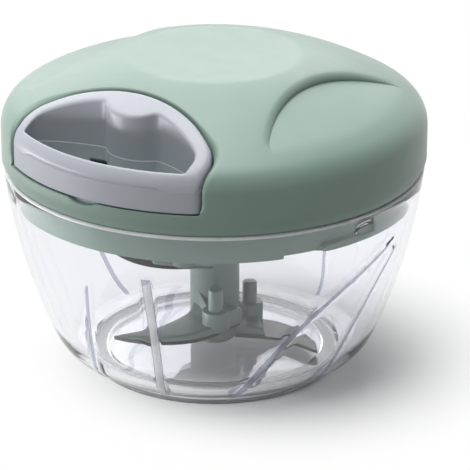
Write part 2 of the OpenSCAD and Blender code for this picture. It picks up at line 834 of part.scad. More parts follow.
// Two straight runs that meet in a mitre at the guide's mouth
module cord_lead() {
    bend = cord_points[1];
    way_in = (bend - cord_points[0]) / norm(bend - cord_points[0]);
    way_out = (cord_points[2] - bend) / norm(cord_points[2] - bend);
    mitre = atan2(way_in[1] + way_out[1], way_in[0] + way_out[0]);
    block = 4 * cord_d;
    color("white")
        union() {
            difference() {
                rod(cord_points[0], bend + cord_d * way_in, cord_d - 0.1);
                translate(bend)
                    rotate(mitre)
                        translate([0, -block / 2, -block / 2])
                            cube(block);
            }
            difference() {
                rod(bend - cord_d * way_out, cord_points[2], cord_d - 0.1);
                translate(bend)
                    rotate(mitre)
                        translate([-block, -block / 2, -block / 2])
                            cube(block);
            }
        }
}

module cord_knot() {
    color("white")
        translate([0, knot_y, cord_z])
            sphere(r = knot_r, $fn = 32);
}

// The loop between two heights
module handle_loop(z0, z1) {
    intersection() {
        translate([0, 0, z0])
            difference() {
                linear_extrude(z1 - z0)
                    polygon(handle_outline(0, handle_front_r));
                difference() {
                    translate([0, 0, -1])
                        linear_extrude(z1 - z0 + 2)
                            polygon(inner_outline);
                    translate([0, boss_y, -2])
                        cylinder(h = z1 - z0 + 4, r = boss_r);
                }
            }
        dome_solid(handle_sink);
    }
}

// Places of the screws that join the handle's halves, in the back corners
handle_screw_at = [corner_v + (handle_corner_r - handle_side_t / 2) * sin(50),
    -corner_u + (handle_corner_r - handle_side_t / 2) * cos(50)];
handle_screw_shank = 0.8;
handle_screw_head = 1.6;
handle_screw_head_h = 1.2;
handle_screw_len = handle_low_h + 4;

module handle_top() {
    color([0.76, 0.76, 0.8])
        difference() {
            handle_loop(parting_z, far);
            for (s = [-1, 1])
                translate([s * handle_screw_at[0], handle_screw_at[1], parting_z - 1])
                    cylinder(h = handle_screw_len - handle_low_h + 1.5, r = handle_screw_shank, $fn = 24);
        }
}

module handle_bottom() {
    color([0.72, 0.72, 0.76])
        difference() {
            handle_loop(handle_z, parting_z);
            for (s = [-1, 1])
                translate([s * handle_screw_at[0], handle_screw_at[1], handle_z - 1]) {
                    cylinder(h = handle_low_h + 2, r = handle_screw_shank + 0.1, $fn = 24);
                    cylinder(h = handle_screw_head_h + 1.2, r = handle_screw_head + 0.1, $fn = 24);
                }
            // Pocket of the knot, open below, and the cord's way in
            translate([0, knot_y, handle_z - 1])
                cylinder(h = cord_z + knot_r - handle_z + 1.3, r = knot_r + 0.3, $fn = 32);
            translate([0, knot_y, cord_z])
                rotate([-90, 0, 0])
                    cylinder(h = far, d = cord_d + 0.4, $fn = 24);
        }
}

module handle_screws() {
    color("silver")
        for (s = [-1, 1])
            translate([s * handle_screw_at[0], handle_screw_at[1], 0])
                screw(handle_z + 0.1, handle_screw_head, handle_screw_head_h, handle_screw_shank, handle_screw_len);
}

bowl();
pivot_pin();
blade_carrier();
shaft_bush();
blade_shaft();
blade_low();
blade_mid();
blade_high();
lid_cover();
lid_base();
lid_screws();
cord_guide();
spindle();
spindle_washer();
spindle_screw();
cord_reel();
drive_socket();
socket_screws();
spiral_spring();
spring_cover();
cord_winding();
cord_lead();
cord_knot();
handle_top();
handle_bottom();
handle_screws();
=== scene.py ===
"""Looks of a pull-string food chopper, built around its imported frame.

Lengths in the classes are millimetres in the part's own frame: +Z up, origin under the bowl, handle towards -Y.
Meshes are turned into metres when they become objects.
"""

from __future__ import annotations

import logging
import math
from dataclasses import dataclass, field
from enum import Enum, IntEnum
from typing import Callable, Iterable, Sequence

import bmesh
import bpy
import numpy as np
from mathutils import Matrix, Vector
from mathutils.geometry import delaunay_2d_cdt

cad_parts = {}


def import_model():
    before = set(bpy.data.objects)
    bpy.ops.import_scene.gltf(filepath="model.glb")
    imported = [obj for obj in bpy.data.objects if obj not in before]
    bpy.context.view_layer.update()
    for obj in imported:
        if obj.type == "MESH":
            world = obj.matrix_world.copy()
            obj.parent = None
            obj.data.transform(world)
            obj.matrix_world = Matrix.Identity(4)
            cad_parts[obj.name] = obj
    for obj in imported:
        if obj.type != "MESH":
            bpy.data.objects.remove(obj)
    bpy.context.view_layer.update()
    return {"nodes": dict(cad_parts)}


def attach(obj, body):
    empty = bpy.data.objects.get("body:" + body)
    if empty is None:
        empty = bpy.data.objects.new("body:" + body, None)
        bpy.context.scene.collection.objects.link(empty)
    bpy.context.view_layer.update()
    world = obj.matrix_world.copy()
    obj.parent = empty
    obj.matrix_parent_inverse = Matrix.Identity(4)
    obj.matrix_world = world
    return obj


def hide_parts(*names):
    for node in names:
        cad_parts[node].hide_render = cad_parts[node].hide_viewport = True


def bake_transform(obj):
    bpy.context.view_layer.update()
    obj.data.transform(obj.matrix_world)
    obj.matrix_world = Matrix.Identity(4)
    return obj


LOG = logging.getLogger("chopper")
MM = 0.001
# Radius that stands for the axis where a turned face closes in its middle
AXIS_R = 0.001
Array = np.ndarray
Point2 = tuple[float, float]
Point3 = tuple[float, float, float]
Material = bpy.types.Material
Object = bpy.types.Object
Node = bpy.types.Node
Socket = bpy.types.NodeSocket
Tree = bpy.types.NodeTree


class Body(Enum):
    """Bodies of the frame that the pieces ride on."""

    BOWL = "bowl"
    LID = "lid"
    REEL = "reel"
    HANDLE = "handle"
    BLADES = "blade_unit"


class Coat(IntEnum):
    """Numbers of a mesh's finishes: its own, and the further ones of the bowl, which are painted shade on the ribs, a
    painted highlight on the rim and painted shade at the foot and boss.
    """

    PLAIN = 0
    EDGE = 1
    RIM_HIGHLIGHT = 2
    FOOT_SHADE = 3


# Small helpers for numbers and outlines


def linear(red: int, green: int, blue: int) -> tuple[float, float, float, float]:
    """Turn a screen colour into the linear one that shaders use.

    Args:
        red, green, blue: channels from 0 to 255.

    Returns:
        Linear colour with full alpha.
    """
    parts = [c / 255.0 for c in (red, green, blue)]
    low = [c / 12.92 if c <= 0.04045 else ((c + 0.055) / 1.055) ** 2.4 for c in parts]
    return (low[0], low[1], low[2], 1.0)


def grey(value: float) -> tuple[float, float, float, float]:
    """Linear grey with full alpha."""
    return (value, value, value, 1.0)


def smoothstep(low: float, high: float, value: Array | float) -> Array:
    """Ease from 0 at low to 1 at high."""
    t = np.clip((np.asarray(value, float) - low) / (high - low), 0.0, 1.0)
    return t * t * (3.0 - 2.0 * t)


def polar(radius: float, degrees: float) -> Point2:
    """Point at a radius and an angle in degrees."""
    a = math.radians(degrees)
    return (radius * math.cos(a), radius * math.sin(a))


def arc_points(centre: Point2, radius: float, start: float, end: float, count: int) -> list[Point2]:
    """Points on an arc, angles in degrees, both ends included."""
    return [
        (centre[0] + p[0], centre[1] + p[1])
        for p in (polar(radius, start + (end - start) * i / count) for i in range(count + 1))
    ]


def quarter_round(distance: Array, radius: Array | float) -> Array:
    """How far a rounded edge lies below the sharp one.

    Args:
        distance: distance from the edge's wall.
        radius: radius of the rounding.

    Returns:
        Drop, which is the radius at the wall and 0 from one radius on.
    """
    t = np.clip(1.0 - distance / radius, 0.0, 1.0)
    return radius * (1.0 - np.sqrt(1.0 - t * t))


def unit(rows: Array) -> Array:
    """Rows scaled to a length of 1."""
    return rows / np.linalg.norm(rows, axis=1, keepdims=True)


def grid_points(xs: Array, ys: Array) -> Array:
    """Places of a grid, one per row."""
    x, y = np.meshgrid(xs, ys)
    return np.stack([x.ravel(), y.ravel()], axis=1)


class Outline:
    """A closed outline in plan, with distances from it."""

    def __init__(self, points: Iterable[Point2]) -> None:
        """Keep the points in counter-clockwise order."""
        p = np.array(list(points), float)
        nxt = np.roll(p, -1, axis=0)
        if np.sum(p[:, 0] * nxt[:, 1] - nxt[:, 0] * p[:, 1]) < 0:
            p = p[::-1].copy()
        self.points: Array = p

    def inside(self, where: Array) -> Array:
        """True for each place that the outline encloses."""
        a, b = self.points, np.roll(self.points, -1, axis=0)
        x, y = where[:, :1], where[:, 1:2]
        spans = (a[:, 1] > y) != (b[:, 1] > y)
        rise = np.where(np.abs(b[:, 1] - a[:, 1]) < 1e-12, 1e-12, b[:, 1] - a[:, 1])
        cross = a[:, 0] + (y - a[:, 1]) * (b[:, 0] - a[:, 0]) / rise
        return (np.sum(spans & (x < cross), axis=1) % 2) == 1

    def distance(self, where: Array) -> tuple[Array, Array]:
        """Signed distance from the outline and the way straight out of it.

        Args:
            where: places in plan, one per row.

        Returns:
            Distances, negative inside, and unit vectors that point outwards.
        """
        a, b = self.points, np.roll(self.points, -1, axis=0)
        ab = b - a
        rel = where[:, None, :] - a[None, :, :]
        t = np.clip(np.sum(rel * ab, axis=2) / np.maximum(np.sum(ab * ab, axis=1), 1e-12), 0, 1)
        gap = rel - t[:, :, None] * ab[None, :, :]
        size = np.sqrt(np.sum(gap * gap, axis=2))
        best = np.argmin(size, axis=1)
        rows = np.arange(len(where))
        near, vec = size[rows, best], gap[rows, best]
        sign = np.where(self.inside(where), -1.0, 1.0)
        side = np.stack([ab[best, 1], -ab[best, 0]], axis=1)
        side /= np.maximum(np.linalg.norm(side, axis=1, keepdims=True), 1e-9)
        out = np.where(near[:, None] < 1e-4, side, sign[:, None] * vec / np.maximum(near, 1e-9)[:, None])
        return sign * near, out

    def depth(self, where: Array) -> Array:
        """How far each place lies inside, and 0 for those outside."""
        return np.maximum(-self.distance(where)[0], 0.0)

    def grown(self, by: float) -> Array:
        """Points moved straight out by a distance."""
        p = self.points
        along = np.roll(p, -1, axis=0) - np.roll(p, 1, axis=0)
        return p + unit(np.stack([along[:, 1], -along[:, 0]], axis=1)) * by


def mirrored(half: Sequence[Point2]) -> list[Point2]:
    """Close an outline from its right half, which starts and ends on x = 0."""
    right = list(half)
    left = [(-x, y) for x, y in reversed(right) if abs(x) > 1e-9]
    return right + left


# Meshes


def add_object(name: str, data: bpy.types.ID) -> Object:
    """Put a new object into the scene."""
    obj = bpy.data.objects.new(name, data)
    bpy.context.scene.collection.objects.link(obj)
    return obj


@dataclass
class Flat:
    """Points, lines and a region of a flat field that is cut into triangles."""

    points: list[Point2] = field(default_factory=list)
    edges: list[tuple[int, int]] = field(default_factory=list)

    def line(self, points: Iterable[Sequence[float]], closed: bool = False) -> list[int]:
        """Add a line that triangles have to follow.

        Args:
            points: places along the line.
            closed: whether its end joins its start.

        Returns:
            Indices of the points.
        """
        first = len(self.points)
        self.points += [(float(p[0]), float(p[1])) for p in points]
        ids = list(range(first, len(self.points)))
        self.edges += list(zip(ids[:-1], ids[1:]))
        if closed:
            self.edges.append((ids[-1], ids[0]))
        return ids

    def scatter(self, points: Array, clear: float) -> None:
        """Add loose points that keep a distance from all points that are there."""
        placed = np.array(self.points)
        keep = np.ones(len(points), bool)
        batch = 512
        for i in range(0, len(points), batch):
            gap = points[i : i + batch, None, :] - placed[None, :, :]
            keep[i : i + batch] = np.min(np.sum(gap * gap, axis=2), axis=1) > clear * clear
        self.points += [(float(p[0]), float(p[1])) for p in points[keep]]

    def cut(self, keep: Callable[[Array], Array]) -> tuple[Array, list[tuple[int, ...]]]:
        """Cut the field into triangles.

        Args:
            keep: tells which triangles stay, from their middles.

        Returns:
            Corner places and the triangles that stay.
        """
        verts, _, faces, *_ = delaunay_2d_cdt([Vector(p) for p in self.points], self.edges, [], 0, 1e-5, True)
        corners = np.array([(v[0], v[1]) for v in verts])
        tris = np.array([f for f in faces if len(f) == 3])
        middles = corners[tris].mean(axis=1)
        return corners, [tuple(int(i) for i in t) for t in tris[keep(middles)]]


class Skin:
    """A mesh that grows from patches whose edges meet, in millimetres."""

    def __init__(self) -> None:
        """Start with nothing."""
        self.verts: list[Point3] = []
        self.faces: list[tuple[int, ...]] = []
        self.coats: list[int] = []

    def patch(self, points: Iterable[Sequence[float]], faces: Iterable[Sequence[int]],
              coat: Sequence[int] | int = Coat.PLAIN) -> None:
        """Add points and the faces between them.

        Args:
            points: places in space.
            faces: indices into the points.
            coat: number of the finish, for all faces or for each.
        """
        base = len(self.verts)
        self.verts += [(float(p[0]), float(p[1]), float(p[2])) for p in points]
        new = [tuple(base + i for i in f) for f in faces]
        self.faces += new
        self.coats += [int(coat)] * len(new) if isinstance(coat, int) else [int(c) for c in coat]

    def strip(self, one: Sequence[Point3], two: Sequence[Point3], closed: bool = True, coat: int = Coat.PLAIN) -> None:
        """Join two rows of points with faces."""
        n = len(one)
        last = n if closed else n - 1
        faces = [(i, (i + 1) % n, n + (i + 1) % n, n + i) for i in range(last)]
        self.patch(list(one) + list(two), faces, coat)

    def rings(self, profile: Sequence[Point2], angles: Array, coat: int = Coat.PLAIN) -> None:
        """Turn a profile of radius and height about the axis."""
        rows = [[(*p, z) for p in around(r, angles)] for r, z in profile]
        for one, two in zip(rows[:-1], rows[1:]):
            self.strip(one, two, coat=coat)

    def flat(self, outer: Array, holes: Sequence[Array], height: Callable[[Array], Array] | float) -> None:
        """Fill an outline, less its holes, at a height.

        Args:
            outer: places of the outline in plan.
            holes: places of each hole's outline.
            height: the height, or what gives it at places in plan.
        """
        sheet = Flat()
        sheet.line(outer, closed=True)
        for hole in holes:
            sheet.line(hole, closed=True)
        edge, gaps = Outline(outer), [Outline(h) for h in holes]

        def keep(middles: Array) -> Array:
            """True inside the outline and outside its holes."""
            ok = edge.inside(middles)
            for gap in gaps:
                ok &= ~gap.inside(middles)
            return ok

        corners, tris = sheet.cut(keep)
        z = height(corners) if callable(height) else np.full(len(corners), height)
        self.patch(np.column_stack([corners, z]), tris)

    def become(self, name: str, finish: Material, sharp: float = 38.0, others: Sequence[Material] = ()) -> Object:
        """Make the object.

        Args:
            name: the piece's name.
            finish: its material.
            sharp: angle in degrees from which an edge shows as a crease.
            others: materials of the faces that are marked for them.

        Returns:
            The object, in metres, at the origin.
        """
        mesh = bpy.data.meshes.new(name)
        mesh.from_pydata([(x * MM, y * MM, z * MM) for x, y, z in self.verts], [], self.faces)
        for coat in (finish, *others):
            mesh.materials.append(coat)
        mesh.polygons.foreach_set("material_index", self.coats)
        work = bmesh.new()
        work.from_mesh(mesh)
        bmesh.ops.remove_doubles(work, verts=work.verts, dist=4e-6)
        bmesh.ops.dissolve_degenerate(work, edges=work.edges, dist=1e-6)
        bmesh.ops.recalc_face_normals(work, faces=work.faces)
        for face in work.faces:
            face.smooth = True
        work.to_mesh(mesh)
        open_edges = sum(1 for e in work.edges if len(e.link_faces) != 2)
        work.free()
        mesh.set_sharp_from_angle(angle=math.radians(sharp))
        obj = add_object(name, mesh)
        LOG.info("%s: %d faces, %d edges not shared by two faces", name, len(mesh.polygons), open_edges)
        return obj


def place(obj: Object, body: Body, node: str) -> Object:
    """Ride a piece on its body, in place of its solid."""
    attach(obj, body.value)
    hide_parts(node)
    return obj


def circle(count: int, start: float = 0.0) -> Array:
    """Angles all round, in radians."""
    return math.radians(start) + np.arange(count) * (2.0 * math.pi / count)


def around(radius: float, angles: Array) -> list[Point2]:
    """Points at a radius, one for each angle in radians."""
    return [(radius * math.cos(a), radius * math.sin(a)) for a in angles]


# Finishes


def put(node: Node, **values: object) -> Node:
    """Set a node's own sockets, with _ for a space in their names, and give the node back."""
    for key, value in values.items():
        node.inputs[key.replace("_", " ")].default_value = value
    return node


class Nodes:
    """Short calls for building a material's nodes."""

    def __init__(self, name: str) -> None:
        """Start a material with its own principled shader."""
        self.material = bpy.data.materials.new(name)
        self.material.use_nodes = True
        self.tree = self.material.node_tree
        self.tree.nodes.clear()
        self.out = self.add("ShaderNodeOutputMaterial")
        self.shader = self.add("ShaderNodeBsdfPrincipled")
        self.link(self.shader.outputs["BSDF"], self.out.inputs["Surface"])
        self.place = self.add("ShaderNodeTexCoord").outputs["Object"]

    def add(self, kind: str, **values: object) -> Node:
        """Add a node and set its properties."""
        node = self.tree.nodes.new(kind)
        for key, value in values.items():
            setattr(node, key, value)
        return node

    def link(self, start: Socket, end: Socket) -> None:
        """Join two sockets."""
        self.tree.links.new(start, end)

    def set(self, **values: object) -> None:
        """Set the shader's own sockets."""
        put(self.shader, **values)

    def mix(self, share: Socket, one: Socket, two: Socket) -> Socket:
        """Mix two shaders by a share, which is 0 for the first and 1 for the second."""
        node = self.add("ShaderNodeMixShader")
        for start, end in zip((share, one, two), node.inputs):
            self.link(start, end)
        return node.outputs["Shader"]

    def pass_lamplight(self, colour: Sequence[float]) -> None:
        """Let the lamps shine through the surface in a colour."""
        through = put(self.add("ShaderNodeBsdfTransparent"), Color=colour)
        in_shadow = self.add("ShaderNodeLightPath").outputs["Is Shadow Ray"]
        mixed = self.mix(in_shadow, self.shader.outputs["BSDF"], through.outputs["BSDF"])
        self.link(mixed, self.out.inputs["Surface"])

    def noise(self, size_mm: float, detail: float, stretch: Point3 = (1.0, 1.0, 1.0)) -> Socket:
        """Noise with features of about a size.

        Args:
            size_mm: size of a feature.
            detail: how many finer layers it has.
            stretch: scale along each axis.

        Returns:
            The noise's value.
        """
        mapping = put(self.add("ShaderNodeMapping"), Scale=stretch)
        self.link(self.place, mapping.inputs["Vector"])
        noise = put(self.add("ShaderNodeTexNoise"), Scale=1.0 / (size_mm * MM), Detail=detail)
        self.link(mapping.outputs["Vector"], noise.inputs["Vector"])
        return noise.outputs["Fac"]

    def spread(self, value: Socket, low: float, high: float) -> Socket:
        """Spread a noise value over a range."""
        node = put(self.add("ShaderNodeMapRange"), From_Min=0.3, From_Max=0.7, To_Min=low, To_Max=high)
        self.link(value, node.inputs["Value"])
        return node.outputs["Result"]

    def tint(self, value: Socket, colour: Sequence[float], change: float) -> None:
        """Vary the base colour about a value, lighter and darker by a share."""
        mix = self.add("ShaderNodeMix", data_type="RGBA")
        mix.inputs[6].default_value = [c * (1.0 - change) for c in colour[:3]] + [1.0]
        mix.inputs[7].default_value = [min(1.0, c * (1.0 + change)) for c in colour[:3]] + [1.0]
        self.link(self.spread(value, 0.0, 1.0), mix.inputs[0])
        self.link(mix.outputs[2], self.shader.inputs["Base Color"])

    def bump(self, value: Socket, height_mm: float, strength: float) -> None:
        """Raise the surface by a value."""
        node = put(self.add("ShaderNodeBump"), Distance=height_mm * MM, Strength=strength)
        self.link(value, node.inputs["Height"])
        self.link(node.outputs["Normal"], self.shader.inputs["Normal"])


@dataclass(frozen=True)
class MouldedPlastic:
    """Opaque moulded plastic with a fine grain."""

    name: str
    colour: tuple[int, int, int]
    roughness: float
    grain_mm: float = 0.45
    grain_height: float = 0.012
    mottle: float = 0.025
    specular: float = 0.5
    sheen: float = 0.0

    def make(self) -> Material:
        """Build the material."""
        n = Nodes(self.name)
        n.set(Specular_IOR_Level=self.specular, Sheen_Weight=self.sheen, Sheen_Roughness=0.45)
        n.tint(n.noise(14.0, 2.0), linear(*self.colour), self.mottle)
        rough = n.spread(n.noise(6.0, 3.0), self.roughness * 0.94, self.roughness * 1.06)
        n.link(rough, n.shader.inputs["Roughness"])
        n.bump(n.noise(self.grain_mm, 3.0), self.grain_height, 0.35)
        return n.material


@dataclass(frozen=True)
class ClearPlastic:
    """Clear moulded plastic that lets lamplight through."""

    name: str
    colour: tuple[int, int, int]
    shade: tuple[int, int, int] = (240, 240, 241)
    ior: float = 1.49

    def make(self) -> Material:
        """Build the material."""
        n = Nodes(self.name)
        n.set(Base_Color=linear(*self.colour), Transmission_Weight=1.0, IOR=self.ior, Roughness=0.01)
        n.bump(n.noise(9.0, 1.0), 0.02, 0.25)
        n.pass_lamplight(linear(*self.shade))
        return n.material


@dataclass(frozen=True)
class PaintedLightPlastic:
    """Part see-through clear plastic in a set colour: painted violet-grey shade on the ribs, a painted white highlight
    on the rim, and painted grey shade on the frosted foot and the boss.
    """

    name: str
    colour: tuple[int, int, int]
    clear: float = 0.55
    roughness: float = 0.14
    ior: float = 1.49

    def make(self) -> Material:
        """Build the material."""
        n = Nodes(self.name)
        n.set(Transmission_Weight=self.clear, IOR=self.ior)
        n.tint(n.noise(3.0, 2.0), linear(*self.colour), 0.05)
        rough = n.spread(n.noise(2.0, 2.0), self.roughness * 0.7, self.roughness * 1.4)
        n.link(rough, n.shader.inputs["Roughness"])
        n.pass_lamplight(linear(*self.colour))
        return n.material


@dataclass(frozen=True)
class GroundSteel:
    """Stainless steel with grinding marks along one axis."""

    name: str
    colour: tuple[int, int, int]
    roughness: float
    stretch: Point3 = (1.0, 14.0, 14.0)

    def make(self) -> Material:
        """Build the material."""
        n = Nodes(self.name)
        n.set(Metallic=1.0)
        n.tint(n.noise(5.0, 2.0), linear(*self.colour), 0.05)
        lines = n.noise(1.6, 4.0, self.stretch)
        n.link(n.spread(lines, self.roughness * 0.75, self.roughness * 1.3), n.shader.inputs["Roughness"])
        n.bump(lines, 0.006, 0.3)
        return n.material


@dataclass(frozen=True)
class BraidedCord:
    """Braided cord with slanting strands."""

    name: str
    colour: tuple[int, int, int]

    def make(self) -> Material:
        """Build the material."""
        n = Nodes(self.name)
        n.set(Roughness=0.85, Sheen_Weight=0.3)
        weave = n.noise(0.5, 2.0, (1.0, 2.6, 2.0))
        n.tint(weave, linear(*self.colour), 0.12)
        n.bump(weave, 0.08, 0.8)
        return n.material


class Finishes:
    """All the part's materials, made once."""

    def __init__(self) -> None:
        """Make every finish."""
        self.lid = MouldedPlastic("sage_matte", (124, 148, 137), 0.42, grain_height=0.01, sheen=0.25).make()
        # Partly painted shade: the base is the lid's sage plastic, written a little darker for the skirt that sits in
        # shade inside the bowl.
        self.base = MouldedPlastic("sage_satin_painted_shade", (118, 138, 128), 0.4, grain_height=0.008, specular=0.3).make()
        self.handle = MouldedPlastic("grey_satin", (173, 176, 184), 0.32, grain_height=0.006, mottle=0.015,
                                     specular=0.35).make()
        # Painted shade: the shaft and arms are the lid's sage plastic, written darker and greyer because they sit in
        # shade under the lid.
        self.shaft = MouldedPlastic("sage_shaft_painted_shade", (102, 118, 112), 0.34, grain_height=0.006).make()
        self.socket = MouldedPlastic("dark_grey_moulded", (96, 100, 102), 0.5).make()
        self.white = MouldedPlastic("white_moulded", (226, 226, 220), 0.45).make()
        self.bush = MouldedPlastic("bush_natural", (218, 212, 196), 0.38).make()
        self.clear = ClearPlastic("clear_moulded", (247, 248, 251)).make()
        # Painted shade: violet-grey on the cores of the bowl's ribs, standing in for the darker band that refraction
        # shows along them.
        self.edge = PaintedLightPlastic("clear_rib_painted_shade", (176, 181, 204), clear=0.6).make()
        # Painted highlight: near-white on the rim bead and the pale rib's core, standing in for the bright line that
        # light through the clear plastic gives.
        self.rim = PaintedLightPlastic("clear_rim_painted_highlight", (246, 248, 252), clear=0.2).make()
        # Painted shade: grey on the frosted foot's underside, standing in for the dark contact line under the bowl, and
        # on the boss, covering its glints.
        self.foot = PaintedLightPlastic("frosted_foot_painted_shade", (150, 151, 155), clear=0.25, roughness=0.5).make()
        # Painted shade: the blades' steel is written much darker than steel, for blades that sit in shade under the
        # lid.
        self.blade = GroundSteel("ground_blade_steel_painted_shade", (84, 83, 80), 0.4).make()
        self.steel = GroundSteel("turned_steel", (176, 177, 180), 0.28, (12.0, 12.0, 1.0)).make()
        self.cord = BraidedCord("white_braid", (226, 224, 216)).make()


# The lid's shape, which the handle shares


@dataclass(frozen=True)
class Dome:
    """Outside of the lid as one profile, followed from the top middle out and down.

    A place on it is given by the length along the profile, here called run, and the angle about the axis.
    """

    lower_z: float = 63.0
    radius: float = 62.5
    side_h: float = 12.0
    shoulder_r: float = 8.7
    crown_r: float = 116.0
    edge_h: float = 2.4
    edge_in: float = 1.1

    @property
    def shoulder(self) -> Point2:
        """Centre of the shoulder's arc, as radius and height."""
        return (self.radius - self.shoulder_r, self.lower_z + self.side_h)

    @property
    def crown_z(self) -> float:
        """Height of the crown arc's centre."""
        r, z = self.shoulder
        return z - math.sqrt((self.crown_r - self.shoulder_r) ** 2 - r * r)

    @property
    def join(self) -> float:
        """Angle from upright at which the crown meets the shoulder."""
        return math.asin(self.shoulder[0] / (self.crown_r - self.shoulder_r))

    @property
    def stops(self) -> tuple[float, float, float, float]:
        """Runs at which the crown, shoulder, side and lower edge end."""
        one = self.crown_r * self.join
        two = one + self.shoulder_r * (math.pi / 2.0 - self.join)
        three = two + self.side_h - self.edge_h
        return one, two, three, three + math.hypot(self.edge_h, self.edge_in)

    def at(self, run: Array, inset: Array | float = 0.0) -> tuple[Array, Array, Array, Array]:
        """Radius, height and outward direction at each run.

        Args:
            run: lengths along the profile.
            inset: how far inside the outer face.

        Returns:
            Radius, height, and the direction's radial and upright parts.
        """
        one, two, three, four = self.stops
        run = np.asarray(run, float)
        inset = np.broadcast_to(np.asarray(inset, float), run.shape)
        a = run / self.crown_r
        b = self.join + (run - one) / self.shoulder_r
        t = np.clip((run - three) / (four - three), 0.0, 1.0)
        r0, z0 = self.shoulder
        slant = math.hypot(self.edge_h, self.edge_in)
        cases = [run <= one, run <= two, run <= three]
        radius = np.select(
            cases,
            [(self.crown_r - inset) * np.sin(a), r0 + (self.shoulder_r - inset) * np.sin(b), self.radius - inset],
            self.radius - self.edge_in * t - inset,
        )
        height = np.select(
            cases,
            [self.crown_z + (self.crown_r - inset) * np.cos(a), z0 + (self.shoulder_r - inset) * np.cos(b),
             z0 - (run - two)],
            self.lower_z + self.edge_h * (1.0 - t),
        )
        out = np.select(cases, [np.sin(a), np.sin(b), np.ones_like(run)], self.edge_h / slant)
        up = np.select(cases, [np.cos(a), np.cos(b), np.zeros_like(run)], -self.edge_in / slant)
        return radius, height, out, up

    def run_at_radius(self, radius: Array) -> Array:
        """Run of a place on the crown or shoulder, from its radius."""
        radius = np.asarray(radius, float)
        crown = np.arcsin(np.clip(radius / self.crown_r, 0.0, 1.0))
        bend = np.arcsin(np.clip((radius - self.shoulder[0]) / self.shoulder_r, -1.0, 1.0))
        return np.where(crown <= self.join, crown * self.crown_r, self.stops[0] + (bend - self.join) * self.shoulder_r)

    def run_at_height(self, height: Array) -> Array:
        """Run of a place on the straight side, from its height."""
        return self.stops[1] + self.shoulder[1] - np.asarray(height, float)

    def top(self, radius: Array, inset: float = 0.0) -> Array:
        """Height above each radius."""
        radius = np.asarray(radius, float)
        crown = self.crown_z + np.sqrt((self.crown_r - inset) ** 2 - radius**2)
        bend = (self.shoulder_r - inset) ** 2 - np.maximum(radius - self.shoulder[0], 0.0) ** 2
        shoulder = self.shoulder[1] + np.sqrt(np.maximum(bend, 0.0))
        return np.where(radius <= (self.crown_r - inset) * math.sin(self.join), crown, shoulder)


@dataclass(frozen=True)
class LoopShape:
    """Plan of the pull handle and of the bay that it docks in."""

    back: float = 34.1
    half_w: float = 33.0
    shoulder: float = 14.1
    corner_r: float = 7.5
    turn_from: float = 20.0

    @property
    def corner(self) -> Point2:
        """Centre of the right back corner."""
        return (self.half_w - self.corner_r, -(self.back + self.shoulder))

    @property
    def bow(self) -> float:
        """Radius of the back edge."""
        v, k, r = self.half_w - self.corner_r, self.shoulder, self.corner_r
        return (v * v + k * k - r * r) / (2.0 * (k - r))

    def back_half(self, grow: float, bow_n: int = 26, corner_n: int = 14) -> list[Point2]:
        """Right half of the back edge, from the middle to where the side starts."""
        middle = (0.0, -(self.back + self.bow))
        end = 90.0 - math.degrees(math.asin(self.corner[0] / (self.bow - self.corner_r)))
        bow = arc_points(middle, self.bow + grow, 90.0, end, bow_n)
        return bow + arc_points(self.corner, self.corner_r + grow, end, 0.0, corner_n)[1:]

    def open_front(self, grow: float, far: float) -> Outline:
        """Outline that follows the back edge and the sides, and runs on to the front as far as y = far."""
        return Outline(mirrored(self.back_half(grow) + [(self.half_w + grow, far), (0.0, far)]))

    def to_side(self, x: Array) -> Array:
        """Ease from 0 along the back's middle to 1 at the sides."""
        return smoothstep(self.turn_from, self.half_w, np.abs(x))


